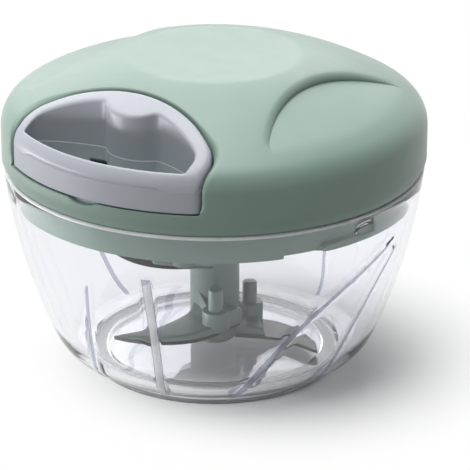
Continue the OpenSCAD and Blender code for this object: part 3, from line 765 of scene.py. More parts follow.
@dataclass
class LidCover:
    """Domed cover with the handle's bay, the shallow dish and the crescent grips."""

    dome: Dome
    loop: LoopShape
    finish: Material
    wall: float = 2.2
    bay_gap: float = 0.6
    bay_z: float = 69.2
    dish_r: float = 25.5
    dish_depth: float = 0.9
    dish_soft: float = 0.06
    grip_grow: float = 0.8
    grip_depth: float = 2.1
    grip_round: float = 2.4
    grip_end: float = 54.8
    scoop_w: float = 10.5
    scoop_depth: float = 1.3
    scoop_in: float = 7.0
    round_back: float = 0.55
    round_side: float = 2.0
    columns: int = 192
    bay_steps: tuple[float, ...] = (0.08, 0.25, 0.5, 0.78, 1.05)
    dish_steps: tuple[float, ...] = (-3.0, -1.2, 0.0, 1.2, 3.0)
    grip_steps: tuple[float, ...] = (-0.25, 0.0, 0.06, 0.22, 0.55, 1.05, 1.7, 2.45)

    def dip(self, x: Array) -> Array:
        """Depth of the finger scoop across the ledge."""
        half, deep = self.scoop_w / 2.0, self.scoop_depth
        r = (half * half + deep * deep) / (2.0 * deep)
        return np.where(np.abs(x) < half, np.sqrt(np.maximum(r * r - x * x, 0.0)) - (r - deep), 0.0)

    def rounding(self, x: Array) -> Array:
        """Radius of the bay's upper edge, tight at the back and wider at the sides."""
        return self.round_back + (self.round_side - self.round_back) * self.loop.to_side(x)

    def bay_line(self, grow: float, share: float, floor_z: float) -> list[Point2]:
        """Half of the bay's edge in run and angle, moved out by a share of its rounding.

        Args:
            grow: distance from the handle's own outline.
            share: share of the rounding.
            floor_z: height of the bay's floor.

        Returns:
            Run and angle of each point, from the back's middle to the floor at the right side.
        """
        plan = np.array(self.loop.back_half(grow))
        along = np.gradient(plan, axis=0)
        out = unit(np.stack([-along[:, 1], along[:, 0]], axis=1))
        out[0] = (0.0, 1.0)
        plan = plan + out * (share * self.rounding(plan[:, 0]))[:, None]
        radius = np.hypot(plan[:, 0], plan[:, 1])
        half = self.loop.half_w + grow + share * self.round_side
        line = list(zip(self.dome.run_at_radius(radius), np.arctan2(plan[:, 1], plan[:, 0])))
        last = float(self.dome.run_at_height(floor_z))
        for t in np.linspace(0.0, 1.0, 15)[1:]:
            run = line[len(plan) - 1][0] * (1.0 - t) + last * t
            r = float(self.dome.at(np.array([run]))[0][0])
            line.append((run, -math.pi / 2.0 + math.asin(half / r)))
        return line

    def front_line(self, grow: float, floor_z: float, scoop: bool) -> list[Point2]:
        """Right half of the ledge's front edge, in run and angle, from the side to the middle."""
        start = math.asin((self.loop.half_w + grow) / self.dome.radius)
        steps = np.concatenate([np.linspace(start, 0.12, 16), np.linspace(0.1, 0.0, 14)])
        dip = self.dip(self.dome.radius * np.sin(steps)) if scoop else np.zeros_like(steps)
        return list(zip(self.dome.run_at_height(floor_z - dip), -math.pi / 2.0 + steps))

    def drop(self, where: Array, radius: Array, height: Array) -> tuple[Array, Array, Array]:
        """How far details lie below the plain dome.

        Args:
            where: places in plan.
            radius: their distances from the axis.
            height: their heights on the plain dome.

        Returns:
            Drop at the bay's edge, the way straight out of the bay, and the drop of the grips.
        """
        far = -3.0 * self.dome.radius
        gap, out = self.loop.open_front(self.bay_gap, far).distance(where)
        edge = quarter_round(np.maximum(gap, 0.0), self.rounding(where[:, 0]))
        edge *= smoothstep(self.bay_z, self.bay_z + 3.0, height)
        grip = np.zeros(len(where))
        shape = self.loop.open_front(self.grip_grow, far)
        start = self.loop.back - self.grip_grow
        share = np.clip((radius - start) / (self.grip_end - start), 0.0, 1.0)
        depth = self.grip_depth * (1.0 - share**2)
        for side in (1.0, -1.0):
            turned = np.stack([-side * where[:, 1], -np.abs(where[:, 0])], axis=1)
            turned[np.sign(where[:, 0]) != side] = (0.0, self.dome.radius)
            away, _ = shape.distance(turned)
            t = np.clip(1.0 - np.maximum(away, 0.0) / self.grip_round, 0.0, 1.0)
            grip += np.where(away <= 0.0, depth, depth * (1.0 - np.sqrt(1.0 - t * t)))
        return edge, out, grip

    def dish(self, radius: Array) -> Array:
        """Drop of the dish below the dome, with a soft edge."""
        rim = float(self.dome.top(np.array([self.dish_r]))[0])
        inner = rim - self.dish_depth + self.dish_depth * (radius / self.dish_r) ** 2
        deep = self.dome.top(np.minimum(radius, self.dome.radius - 1.0)) - inner
        return np.where(radius < self.dish_r + 8.0, 0.5 * (deep + np.sqrt(deep**2 + 4.0 * self.dish_soft**2)), 0.0)

    def lift(self, spots: Array, inset: float, detail: bool) -> Array:
        """Place spots of the flat field on the dome.

        Args:
            spots: places in the field, where the distance from its middle is the run.
            inset: how far inside the outer face.
            detail: whether the edges, grips and dish are worked in.

        Returns:
            Places in space.
        """
        run, angle = np.hypot(spots[:, 0], spots[:, 1]), np.arctan2(spots[:, 1], spots[:, 0])
        radius, height, out, up = self.dome.at(run, inset)
        c, s = np.cos(angle), np.sin(angle)
        space = np.stack([radius * c, radius * s, height], axis=1)
        if not detail:
            rim = float(self.dome.top(np.array([self.dish_r]))[0])
            space[:, 2] = np.minimum(space[:, 2], rim - self.dish_depth - self.wall)
            return space
        normal = np.stack([out * c, out * s, up], axis=1)
        edge, side, grip = self.drop(space[:, :2], radius, height)
        side3 = np.column_stack([side, np.zeros(len(side))])
        way = normal - np.sum(normal * side3, axis=1, keepdims=True) * side3
        way /= np.maximum(np.linalg.norm(way, axis=1, keepdims=True), 1e-6)
        space = space - way * edge[:, None] - normal * grip[:, None]
        space[:, 2] -= np.where(run < self.dome.stops[0], self.dish(radius), 0.0)
        return space

    def skin(self, skin: Skin, inset: float, grow: float, floor_z: float, detail: bool) -> None:
        """Add one face of the cover, with the bay's walls and floor.

        Args:
            skin: the mesh that it goes into.
            inset: how far inside the outer face.
            grow: distance of the bay's wall from the handle's outline.
            floor_z: height of the bay's floor.
            detail: whether the edges, grips and dish are worked in.
        """
        field_ = Flat()

        def flat(line: Iterable[Point2], flip: bool = False) -> list[Point2]:
            """Places in the field from runs and angles, on the other side if flipped."""
            return [(a * math.cos(b) * (-1 if flip else 1), a * math.sin(b)) for a, b in line]

        wall, front = self.bay_line(grow, 0.0, floor_z), self.front_line(grow, floor_z, detail)
        right = flat(wall) + flat(front)[1:]
        left = [(-x, y) for x, y in reversed(right[1:-1])]
        edge_ids = field_.line(right + left, closed=True)
        if detail:
            for share in self.bay_steps:
                line = self.bay_line(grow, share, floor_z)
                field_.line(flat(reversed(line), True)[:-1] + flat(line))
            self.grip_lines(field_)
            for off in self.dish_steps:
                run = float(self.dome.run_at_radius(self.dish_r + off))
                field_.line(around(run, circle(72)), closed=True)
        one, two, three, four = self.dome.stops
        angles = circle(self.columns)
        runs = list(np.linspace(one, two, 9)[1:]) + list(np.linspace(two, three, 5)[1:]) + [four]
        field_.line(around(four, angles), closed=True)
        loose = [np.zeros((1, 2))]
        rows, spacing = 26, 2.3
        for i in range(1, rows + 1):
            run = one * i / rows
            ring = circle(max(12, min(self.columns, int(2.0 * math.pi * run / spacing))), 3.0 * i)
            loose.append(np.stack([run * np.cos(ring), run * np.sin(ring)], axis=1))
        loose += [np.stack([run * np.cos(angles), run * np.sin(angles)], axis=1) for run in runs[:-1]]
        field_.scatter(np.concatenate(loose), 0.75)
        bay = Outline([field_.points[i] for i in edge_ids])
        corners, tris = field_.cut(lambda m: ~bay.inside(m))
        space = self.lift(corners, inset, detail)
        skin.patch(space, tris)
        # Walls and floor of the bay
        spots = np.array([field_.points[i] for i in edge_ids])
        rim = space[[int(np.argmin(np.sum((corners - spot) ** 2, axis=1))) for spot in spots]]
        n_wall, n_all = len(wall), len(edge_ids)
        order = list(range(n_all - n_wall + 1, n_all)) + list(range(n_wall))
        top = [tuple(rim[i]) for i in order]
        foot = [(p[0], p[1], floor_z) for p in top]
        foot[0], foot[-1] = top[0], top[-1]
        mids = [(f[0], f[1], max(floor_z, t[2] - 1.0)) for f, t in zip(foot, top)]
        mids[0], mids[-1] = top[0], top[-1]
        skin.strip(top, mids, closed=False)
        skin.strip(mids, foot, closed=False)
        ledge = [tuple(rim[i]) for i in range(n_wall, n_all - n_wall + 1)]
        self.floor(skin, foot + ledge, floor_z, detail)

    def floor(self, skin: Skin, edge: Sequence[Point3], floor_z: float, scoop: bool) -> None:
        """Fill the bay's floor, with the finger scoop at its front."""
        sheet = Flat()
        sheet.line([p[:2] for p in edge], closed=True)
        heights = {(round(p[0], 4), round(p[1], 4)): p[2] for p in edge}
        if scoop:
            half = self.scoop_w * 0.48
            xs, ts = np.meshgrid(np.linspace(-half, half, 17), np.linspace(0.4, self.scoop_in, 12))
            front = -np.sqrt(self.dome.radius**2 - xs**2)
            sheet.scatter(np.stack([xs.ravel(), (front + ts).ravel()], axis=1), 0.2)
        shape = Outline([p[:2] for p in edge])
        corners, tris = sheet.cut(shape.inside)
        depth = np.hypot(corners[:, 0], corners[:, 1])
        inward = np.clip((self.dome.radius - depth) / self.scoop_in, 0.0, 1.0)
        z = floor_z - (self.dip(corners[:, 0]) * (1.0 - inward**2) if scoop else 0.0)
        z = np.broadcast_to(z, len(corners)).copy()
        for i, c in enumerate(corners):
            z[i] = heights.get((round(c[0], 4), round(c[1], 4)), z[i])
        skin.patch(np.column_stack([corners, z]), tris)

    def grip_lines(self, field_: Flat) -> None:
        """Add lines along both crescent grips to the flat field."""
        for out in self.grip_steps:
            half = np.array(self.loop.back_half(self.grip_grow + out))
            half = half[np.hypot(half[:, 0], half[:, 1]) < self.grip_end + 0.5]
            line = np.concatenate([half[::-1] * (-1.0, 1.0), half[1:]])
            for side in (1.0, -1.0):
                turned = np.stack([-side * line[:, 1], side * line[:, 0]], axis=1)
                radius = np.hypot(turned[:, 0], turned[:, 1])
                run = self.dome.run_at_radius(radius)
                field_.line(turned * (run / radius)[:, None])

    def build(self) -> Object:
        """Make the cover as one closed shell."""
        skin = Skin()
        self.skin(skin, 0.0, self.bay_gap, self.bay_z, True)
        self.skin(skin, self.wall, self.bay_gap + self.wall, self.bay_z - self.wall, False)
        last = self.dome.stops[3]
        rows = []
        for inset in (0.0, self.wall):
            r, z, _, _ = self.dome.at(np.array([last]), inset)
            rows.append([(*p, z[0]) for p in around(r[0], circle(self.columns))])
        skin.strip(*rows)
        return place(skin.become("lid_cover_shell", self.finish), Body.LID, "lid_cover")


@dataclass
class PullHandle:
    """Two moulded halves of the D-shaped handle, with a parting line all round."""

    dome: Dome
    loop: LoopShape
    finish: Material
    front_r: float = 62.0
    front_t: float = 2.4
    front_corner: float = 2.8
    bar: float = 4.6
    side: float = 4.4
    sink: float = 0.2
    low_z: float = 69.5
    foot_round: float = 0.35
    parting_z: float = 76.3
    parting_gap: float = 0.02
    ledge: float = 0.14
    ledge_h: float = 0.3
    lobe_y: float = -36.57
    lobe_r: float = 7.3
    lobe_half: float = 9.4
    lobe_soft: float = 0.9
    middle_y: float = -47.5
    front_round: float = 0.35
    back_round: float = 0.5
    side_round: float = 0.9
    inner_round: float = 0.95
    notch: tuple[float, float, float] = (-14.6, -8.0, 71.9)
    outer_steps: tuple[float, ...] = (0.1, 0.3, 0.62, 1.05, 1.6)
    inner_steps: tuple[float, ...] = (0.06, 0.2, 0.45, 0.75)
    grid: float = 1.1

    def outer(self) -> Outline:
        """Outline of the whole handle."""
        rf = self.front_corner
        v = self.loop.half_w - rf
        u = math.sqrt((self.front_r - rf) ** 2 - v * v)
        turn = -math.degrees(math.atan2(u, v))
        half = self.loop.back_half(0.0, 30, 16)
        half += arc_points((v, -u), rf, 0.0, turn, 8)
        half += arc_points((0.0, 0.0), self.front_r, turn, -90.0, 26)[1:]
        half[-1] = (0.0, -self.front_r)
        half[0] = (0.0, -self.loop.back)
        return Outline(mirrored(half))

    def inner(self) -> Outline:
        """Outline of the finger opening, with the lobe that holds the cord."""
        loop = self.loop
        rc = loop.corner_r - self.side + 1.2
        v = loop.half_w - self.side - rc
        bow = loop.bow - self.bar
        centre = (0.0, -(loop.back + loop.bow))
        end = 90.0 - math.degrees(math.asin(v / (bow - rc)))
        u = -centre[1] - math.sqrt((bow - rc) ** 2 - v * v)
        half = arc_points(centre, bow, 90.0, end, 44)
        half += arc_points((v, -u), rc, end, 0.0, 10)[1:]
        front = self.front_r - self.front_t
        side_v = v + rc
        corner = 1.1
        cv = side_v - corner
        cu = math.sqrt((front - corner) ** 2 - cv * cv)
        turn = -math.degrees(math.atan2(cu, cv))
        half += arc_points((cv, -cu), corner, 0.0, turn, 6)
        half += arc_points((0.0, 0.0), front, turn, -90.0, 22)[1:]
        shaped = []
        for x, y in half:
            if y > self.middle_y and x < self.loop.turn_from:
                off = x / self.lobe_half
                bulge = math.sqrt(1.0 - off * off) if off < 0.9 else 0.436 - 2.0 * (off - 0.9)
                lobe = self.lobe_r * bulge - self.lobe_y
                k = self.lobe_soft
                y = -k * math.log(math.exp(min(60.0, -y / k)) + math.exp(min(60.0, max(-60.0, lobe / k))))
            shaped.append((x, y))
        shaped[0], shaped[-1] = (0.0, shaped[0][1]), (0.0, -front)
        return Outline(mirrored(shaped))

    def top_z(self, where: Array, outer: Outline, inner: Outline) -> Array:
        """Height of the handle's top, which follows the lid and rounds over at its edges."""
        z = self.dome.top(np.hypot(where[:, 0], where[:, 1]), self.sink)
        to_in, _ = inner.distance(where)
        across = np.abs(where[:, 0])
        at_back = smoothstep(-60.0, -56.0, where[:, 1])
        more = self.back_round + self.side_round * self.loop.to_side(across)
        radius = self.front_round + more * np.maximum(at_back, smoothstep(27.0, 31.0, across))
        drop = quarter_round(outer.depth(where), radius)
        return z - drop - quarter_round(np.maximum(to_in, 0.0), self.inner_round)

    @staticmethod
    def ring(points: Array, z: Array | float) -> list[Point3]:
        """Points in space from places in plan."""
        heights = np.broadcast_to(np.asarray(z, float), len(points))
        return [(float(p[0]), float(p[1]), float(h)) for p, h in zip(points, heights)]

    def upper(self) -> Object:
        """Make the upper half."""
        outer, inner = self.outer(), self.inner()
        sheet = Flat()
        sheet.line(outer.points, closed=True)
        sheet.line(inner.points, closed=True)
        for step in self.outer_steps:
            sheet.line(outer.grown(-step), closed=True)
        for step in self.inner_steps:
            sheet.line(inner.grown(step), closed=True)
        half = self.loop.half_w
        grid = grid_points(np.arange(-half, half, self.grid), np.arange(-self.front_r, -self.loop.back, self.grid))
        grid = grid[(outer.distance(grid)[0] < -1.7) & (inner.distance(grid)[0] > 0.9)]
        sheet.scatter(grid, 0.5)
        corners, tris = sheet.cut(lambda m: outer.inside(m) & ~inner.inside(m))
        skin = Skin()
        skin.patch(np.column_stack([corners, self.top_z(corners, outer, inner)]), tris)
        base = self.parting_z
        for shape, way in ((outer, -1.0), (inner, 1.0)):
            top = self.ring(shape.points, self.top_z(shape.points, outer, inner))
            skin.strip(top, self.ring(shape.grown(way * self.ledge), base))
        skin.flat(outer.grown(-self.ledge), [inner.grown(self.ledge)], base)
        return place(skin.become("handle_top_shell", self.finish), Body.HANDLE, "handle_top")

    def notched(self, points: Array) -> Array:
        """True for points of the opening's edge that lie at the notch."""
        left, right, _ = self.notch
        return (points[:, 0] > left) & (points[:, 0] < right) & (points[:, 1] > self.middle_y)

    def lower(self) -> Object:
        """Make the lower half, with the small notch beside the lobe."""
        outer, inner = self.outer(), self.inner()
        skin = Skin()
        top, foot, soft = self.parting_z - self.parting_gap, self.low_z, self.foot_round
        raised = self.notch[2]
        for shape, way in ((outer, -1.0), (inner, 1.0)):
            p = shape.points
            base = np.where(self.notched(p) & (way > 0.0), raised, foot)
            skin.strip(self.ring(shape.grown(way * soft), base), self.ring(p, base + soft))
            skin.strip(self.ring(p, base + soft), self.ring(p, top - self.ledge_h))
            skin.strip(self.ring(p, top - self.ledge_h), self.ring(shape.grown(way * self.ledge), top))
        skin.flat(outer.grown(-self.ledge), [inner.grown(self.ledge)], top)
        hole = inner.grown(soft)
        marks = {(round(a, 4), round(b, 4)) for a, b in hole[self.notched(inner.points)]}

        def base_z(corners: Array) -> Array:
            """Height of the underside, which is raised at the notch."""
            return np.array([raised if (round(a, 4), round(b, 4)) in marks else foot for a, b in corners])

        skin.flat(outer.grown(-soft), [hole], base_z)
        obj = skin.become("handle_bottom_shell", self.finish, 15.0)
        return place(obj, Body.HANDLE, "handle_bottom")


# Walls of revolution with raised or sunk detail


@dataclass
class Wall:
    """Part of a turned wall, with detail that stands out of it or is cut into it."""

    profile: Array
    columns: int
    start: float
    reference: float = 50.0

    def __post_init__(self) -> None:
        """Measure the profile."""
        steps = np.hypot(*np.diff(self.profile, axis=0).T)
        self.length: Array = np.concatenate([[0.0], np.cumsum(steps)])

    def point(self, along: Array) -> Array:
        """Radius and height along the profile, and those of its end beyond it."""
        return np.array([np.interp(along, self.length, column) for column in self.profile.T])

    def at(self, along: Array) -> tuple[Array, Array, Array, Array]:
        """Radius, height and outward direction along the profile."""
        step = 0.4
        r, z = self.point(along)
        dr, dz = self.point(along + step) - self.point(along - step)
        size = np.hypot(dr, dz)
        return r, z, dz / size, -dr / size

    def along_at(self, height: Array) -> Array:
        """Length along the profile at which it has a height, for one that rises."""
        return np.interp(height, self.profile[:, 1], self.length)

    def spot(self, degrees: Array, along: Array) -> Array:
        """Places in the flat field."""
        turn = np.mod(np.asarray(degrees, float) - self.start, 360.0)
        return np.stack([np.radians(turn) * self.reference, np.asarray(along, float)], axis=-1)

    def add(self, skin: Skin, lines: Sequence[Array], raise_by: Callable[[Array, Array], Array], rows: int,
            clear: float = 0.55, mark: Callable[[Array, Array], Array] | None = None) -> None:
        """Add the wall to a mesh.

        Args:
            skin: the mesh.
            lines: lines in the flat field that the triangles follow.
            raise_by: gives how far the face stands out, from angles in degrees and lengths along the profile.
            rows: rows of plain points.
            clear: distance that plain points keep from the lines.
            mark: gives 1 on cores that take the edge's painted shade, and -1 on those that take the rim's painted
                highlight, with the painted shade on their flanks.
        """
        field_ = Flat()
        width, height = 2.0 * math.pi * self.reference, self.length[-1]
        xs = np.linspace(0.0, width, self.columns + 1)
        ys = np.linspace(0.0, height, rows + 1)
        field_.line([(x, 0.0) for x in xs] + [(width, y) for y in ys[1:]] + [(x, height) for x in xs[::-1][1:]]
                    + [(0.0, y) for y in ys[::-1][1:-1]], closed=True)
        for line in lines:
            field_.line(line)
        field_.scatter(grid_points(xs[1:-1], ys[1:-1]), clear)
        corners, tris = field_.cut(lambda m: np.ones(len(m), bool))
        degrees = self.start + np.degrees(corners[:, 0] / self.reference)
        r, z, out, up = self.at(corners[:, 1])
        lift = raise_by(degrees, corners[:, 1])
        r, z = r + out * lift, z + up * lift
        a = np.radians(degrees)
        marks = mark(degrees, corners[:, 1]) if mark else np.zeros(len(corners))
        share = marks[np.array(tris)].mean(axis=1)
        # Cores take the painted violet-grey shade; pale cores take the painted white highlight, with painted shade on
        # their flanks.
        coats = np.select([share > 0.9, share < -0.9, share < -0.1], [Coat.EDGE, Coat.RIM_HIGHLIGHT, Coat.EDGE], Coat.PLAIN)
        skin.patch(np.stack([r * np.cos(a), r * np.sin(a), z], axis=1), tris, list(coats))


@dataclass(frozen=True)
class SwirlRib:
    """One slanting edge of the bowl's swirl.

    It has places as angle and height, widths at both ends, a height, a turn about the axis and the share of its width
    that is flat. A pale one takes the rim's painted white highlight on its core.
    """

    path: tuple[Point2, ...]
    foot_w: float
    top_w: float
    rise: float
    turn: float = 0.0
    flat: float = 0.58
    pale: bool = False

    def line(self, t: Array) -> tuple[Array, Array]:
        """Angle and height at a share of the way from the foot to the top."""
        spots = np.array(self.path)
        z = spots[0, 1] + (spots[-1, 1] - spots[0, 1]) * t
        curve = np.polyfit(spots[:, 1], spots[:, 0], min(3, len(spots) - 1))
        return self.turn + np.polyval(curve, z), z

    def half(self, t: Array) -> Array:
        """Half of its width at a share of the way."""
        return 0.5 * (self.foot_w + (self.top_w - self.foot_w) * t)


@dataclass
class Bowl:
    """Clear bowl with a foot ring, a swirl of slanting edges and the bayonet's lugs."""

    finish: Material
    edge: Material
    rim: Material
    foot: Material
    height: float = 62.0
    rim_r: float = 61.9
    foot_r: float = 37.0
    foot_h: float = 3.0
    foot_w: float = 4.0
    floor_z: float = 6.0
    wall: float = 2.3
    corner_r: float = 14.0
    low_lean: float = 24.0
    top_lean: float = 6.0
    boss_r: float = 4.9
    boss_z: float = 7.0
    lug_angle: float = 351.3
    lug_len: float = 9.0
    lug_h: float = 3.6
    lug_z: float = 57.8
    lug_reach: float = 0.55
    bead_h: float = 0.75
    bead_r: float = 0.9
    bead_drop: float = 0.8
    bead_in: float = 0.06
    lip_drop: float = 0.7
    lip_in: float = 0.05
    rib_fade: float = 0.03
    rib_past: float = 1.2
    columns: int = 180
    seam: float = 226.5

    @property
    def ribs(self) -> list[SwirlRib]:
        """Edges of the swirl, on the near side and again half a turn on."""
        long = ((312.8, 5.0), (321.2, 17.0), (332.5, 29.0), (347.5, 41.9), (367.4, 50.8))
        short = ((347.5, 5.0), (349.4, 9.7), (354.7, 26.5), (361.7, 39.3), (369.2, 48.2))
        upright = ((286.5, 4.6), (288.2, 23.8), (288.1, 38.0), (287.6, 48.0))
        leaning = ((257.9, 5.5), (263.2, 19.5), (266.5, 32.9), (268.4, 43.0))
        ribs = []
        for turn in (0.0, 180.0):
            ribs += [SwirlRib(long, 4.2, 1.9, 0.15, turn), SwirlRib(short, 3.4, 1.7, 0.06, turn),
                     SwirlRib(leaning, 2.6, 1.7, 0.1, turn)]
        # The upright rib's pale core is a painted highlight.
        return ribs + [SwirlRib(upright, 2.9, 2.4, 0.15, flat=0.76, pale=True)]

    def face(self, inset: float) -> Array:
        """Profile of the wall from the floor's corner to the rim, inside the outer face by inset."""
        centre = (self.foot_r - 1.5, self.foot_h + self.corner_r)
        low, top = math.radians(self.low_lean), math.radians(self.top_lean)
        end = (centre[0] + self.corner_r * math.cos(low), centre[1] - self.corner_r * math.sin(low))
        bow = (self.height - end[1]) / (math.sin(low) - math.sin(top))
        fit = (self.rim_r - end[0]) / (bow * (math.cos(top) - math.cos(low)))
        pts = arc_points(centre, self.corner_r - inset, -80.0, -self.low_lean, 18)
        for i in range(1, 41):
            a = low + (top - low) * i / 40.0
            out = fit * bow * (math.cos(a) - math.cos(low))
            pts.append((end[0] + out - inset, end[1] + bow * (math.sin(low) - math.sin(a))))
        return np.array(pts)

    def outer_wall(self, skin: Skin) -> tuple[float, float]:
        """Add the outer face with its swirl.

        Args:
            skin: the mesh.

        Returns:
            Radius and height of the face's lower end.
        """
        profile = self.face(0.0)
        end = self.height - self.bead_drop
        profile = np.vstack([profile[profile[:, 1] < end], [self.rim_r - self.bead_in, end]])
        wall = Wall(profile, self.columns, self.seam)
        lines: list[Array] = []
        t = np.linspace(0.0, 1.0, 42)
        shapes: list[tuple[SwirlRib, Array, Array]] = []
        for rib in self.ribs:
            deg, z = rib.line(t)
            along = wall.along_at(z)
            shapes.append((rib, deg, along))
            middle = wall.spot(deg, along)
            way = np.gradient(middle, axis=0)
            side = unit(np.stack([-way[:, 1], way[:, 0]], axis=1))
            for share in (-1.0, -rib.flat, rib.flat, 1.0):
                lines.append(middle + side * (rib.half(t) * share)[:, None])

        def stand(degrees: Array, along: Array, share_only: bool = False) -> Array:
            """How far the ribs stand out, or the share of their height, negative on pale ones."""
            spots = wall.spot(degrees, along)
            lift = np.zeros(len(degrees))
            for rib, deg, run in shapes:
                middle = wall.spot(deg, run)
                gap = np.hypot(spots[:, None, 0] - middle[None, :, 0], spots[:, None, 1] - middle[None, :, 1])
                best = np.argmin(gap, axis=1)
                share = t[best]
                way = unit(np.gradient(middle, axis=0)[best])
                rel = spots - middle[best]
                off = np.abs(rel[:, 0] * way[:, 1] - rel[:, 1] * way[:, 0])
                past = np.abs(rel[:, 0] * way[:, 0] + rel[:, 1] * way[:, 1])
                half = rib.half(share)
                form = np.clip((half * 1.002 - off) / (half * (1.0 - rib.flat)), 0.0, 1.0)
                form *= np.clip((1.0 - share) / self.rib_fade, 0.0, 1.0) * (past < self.rib_past)
                if share_only:
                    lift = np.where(form > np.abs(lift), -form if rib.pale else form, lift)
                else:
                    lift = np.maximum(lift, rib.rise * form)
            return lift

        wall.add(skin, lines, stand, 30, mark=lambda degrees, along: stand(degrees, along, True))
        return float(profile[0, 0]), float(profile[0, 1])

    def inner_wall(self, skin: Skin) -> tuple[float, float]:
        """Add the inner face with the lugs.

        Args:
            skin: the mesh.

        Returns:
            Radius and height of the face's lower end.
        """
        profile = self.face(self.wall)
        profile = profile[profile[:, 1] > self.floor_z + 0.02]
        profile = np.vstack([[profile[0, 0] - 1.2, self.floor_z], profile])
        end = self.height - self.lip_drop
        profile = np.vstack([profile[profile[:, 1] < end], [self.rim_r - self.wall + self.lip_in, end]])
        wall = Wall(profile, self.columns, self.seam)
        middle_along = float(wall.along_at(np.array([self.lug_z]))[0])
        radius = float(wall.at(np.array([middle_along]))[0][0])
        scale = wall.reference / radius
        centres = [wall.spot(np.array([self.lug_angle + 120.0 * k]), np.array([middle_along]))[0] for k in range(3)]
        half = np.array([self.lug_len / 2.0 * scale, self.lug_h / 2.0])
        ring = circle(36)
        ring = np.append(ring, ring[0])
        oval = np.stack([np.cos(ring), np.sin(ring)], axis=1)
        lines = [c + oval * half * share for c in centres for share in (1.0, 0.86, 0.72, 0.55)]

        def stand(degrees: Array, along: Array) -> Array:
            """How far the face stands out, negative on the lugs, which reach inwards."""
            spots = wall.spot(degrees, along)
            lift = np.zeros(len(degrees))
            for c in centres:
                off = np.linalg.norm((spots - c) / half, axis=1)
                lift = np.minimum(lift, -self.lug_reach * smoothstep(0.0, 0.45, 1.0 - off))
            return lift

        wall.add(skin, lines, stand, 26, 0.4)
        return float(profile[0, 0]), float(profile[0, 1])

    def build(self) -> Object:
        """Make the bowl as one closed shell."""
        skin = Skin()
        angles = circle(self.columns, self.seam)
        low_r, low_z = self.outer_wall(skin)
        floor_r, _ = self.inner_wall(skin)
        inner_foot = self.foot_r - self.foot_w
        skin.rings([(AXIS_R, self.foot_h), (inner_foot - 0.6, self.foot_h), (inner_foot, self.foot_h - 0.6),
                    (inner_foot, 0.4)], angles)
        # The foot's underside takes painted grey shade for the dark contact line under the bowl.
        skin.rings([(inner_foot, 0.4), (inner_foot + 0.4, 0.0), (self.foot_r - 0.5, 0.0), (self.foot_r, 0.5)],
                   angles, Coat.FOOT_SHADE)
        skin.rings([(self.foot_r, 0.5), (self.foot_r, 2.2), (low_r, low_z)], angles)
        top, r, bead = self.height, self.rim_r, self.height + self.bead_h
        bow = arc_points((r - self.bead_r, bead - self.bead_r), self.bead_r, 0.0, 90.0, 8)
        skin.rings([(r - self.bead_in, top - self.bead_drop), bow[0]], angles)
        # The bead's top takes a painted white highlight.
        skin.rings([*bow, (r - 1.0, bead)], angles, Coat.RIM_HIGHLIGHT)
        inside = r - self.wall
        skin.rings([(r - 1.0, bead), (r - 1.25, bead - 0.1), (r - 1.35, bead - 0.35), (r - 1.35, top - 0.1),
                    (r - 1.45, top), (inside + 0.6, top), (inside + 0.2, top - 0.15),
                    (inside + self.lip_in, top - self.lip_drop)], angles)
        floor, boss = self.floor_z, self.boss_r
        skin.rings([(floor_r, floor), (floor_r * 0.6, floor), (boss + 0.5, floor)], angles)
        # The boss takes the foot's painted grey shade, which covers its glints.
        skin.rings([(boss + 0.5, floor), (boss, floor + 0.4), (boss, self.boss_z - 0.3), (boss - 0.3, self.boss_z),
                    (AXIS_R, self.boss_z)], angles, Coat.FOOT_SHADE)
        obj = skin.become("bowl_shell", self.finish, 30.0, (self.edge, self.rim, self.foot))
        return place(obj, Body.BOWL, "bowl")


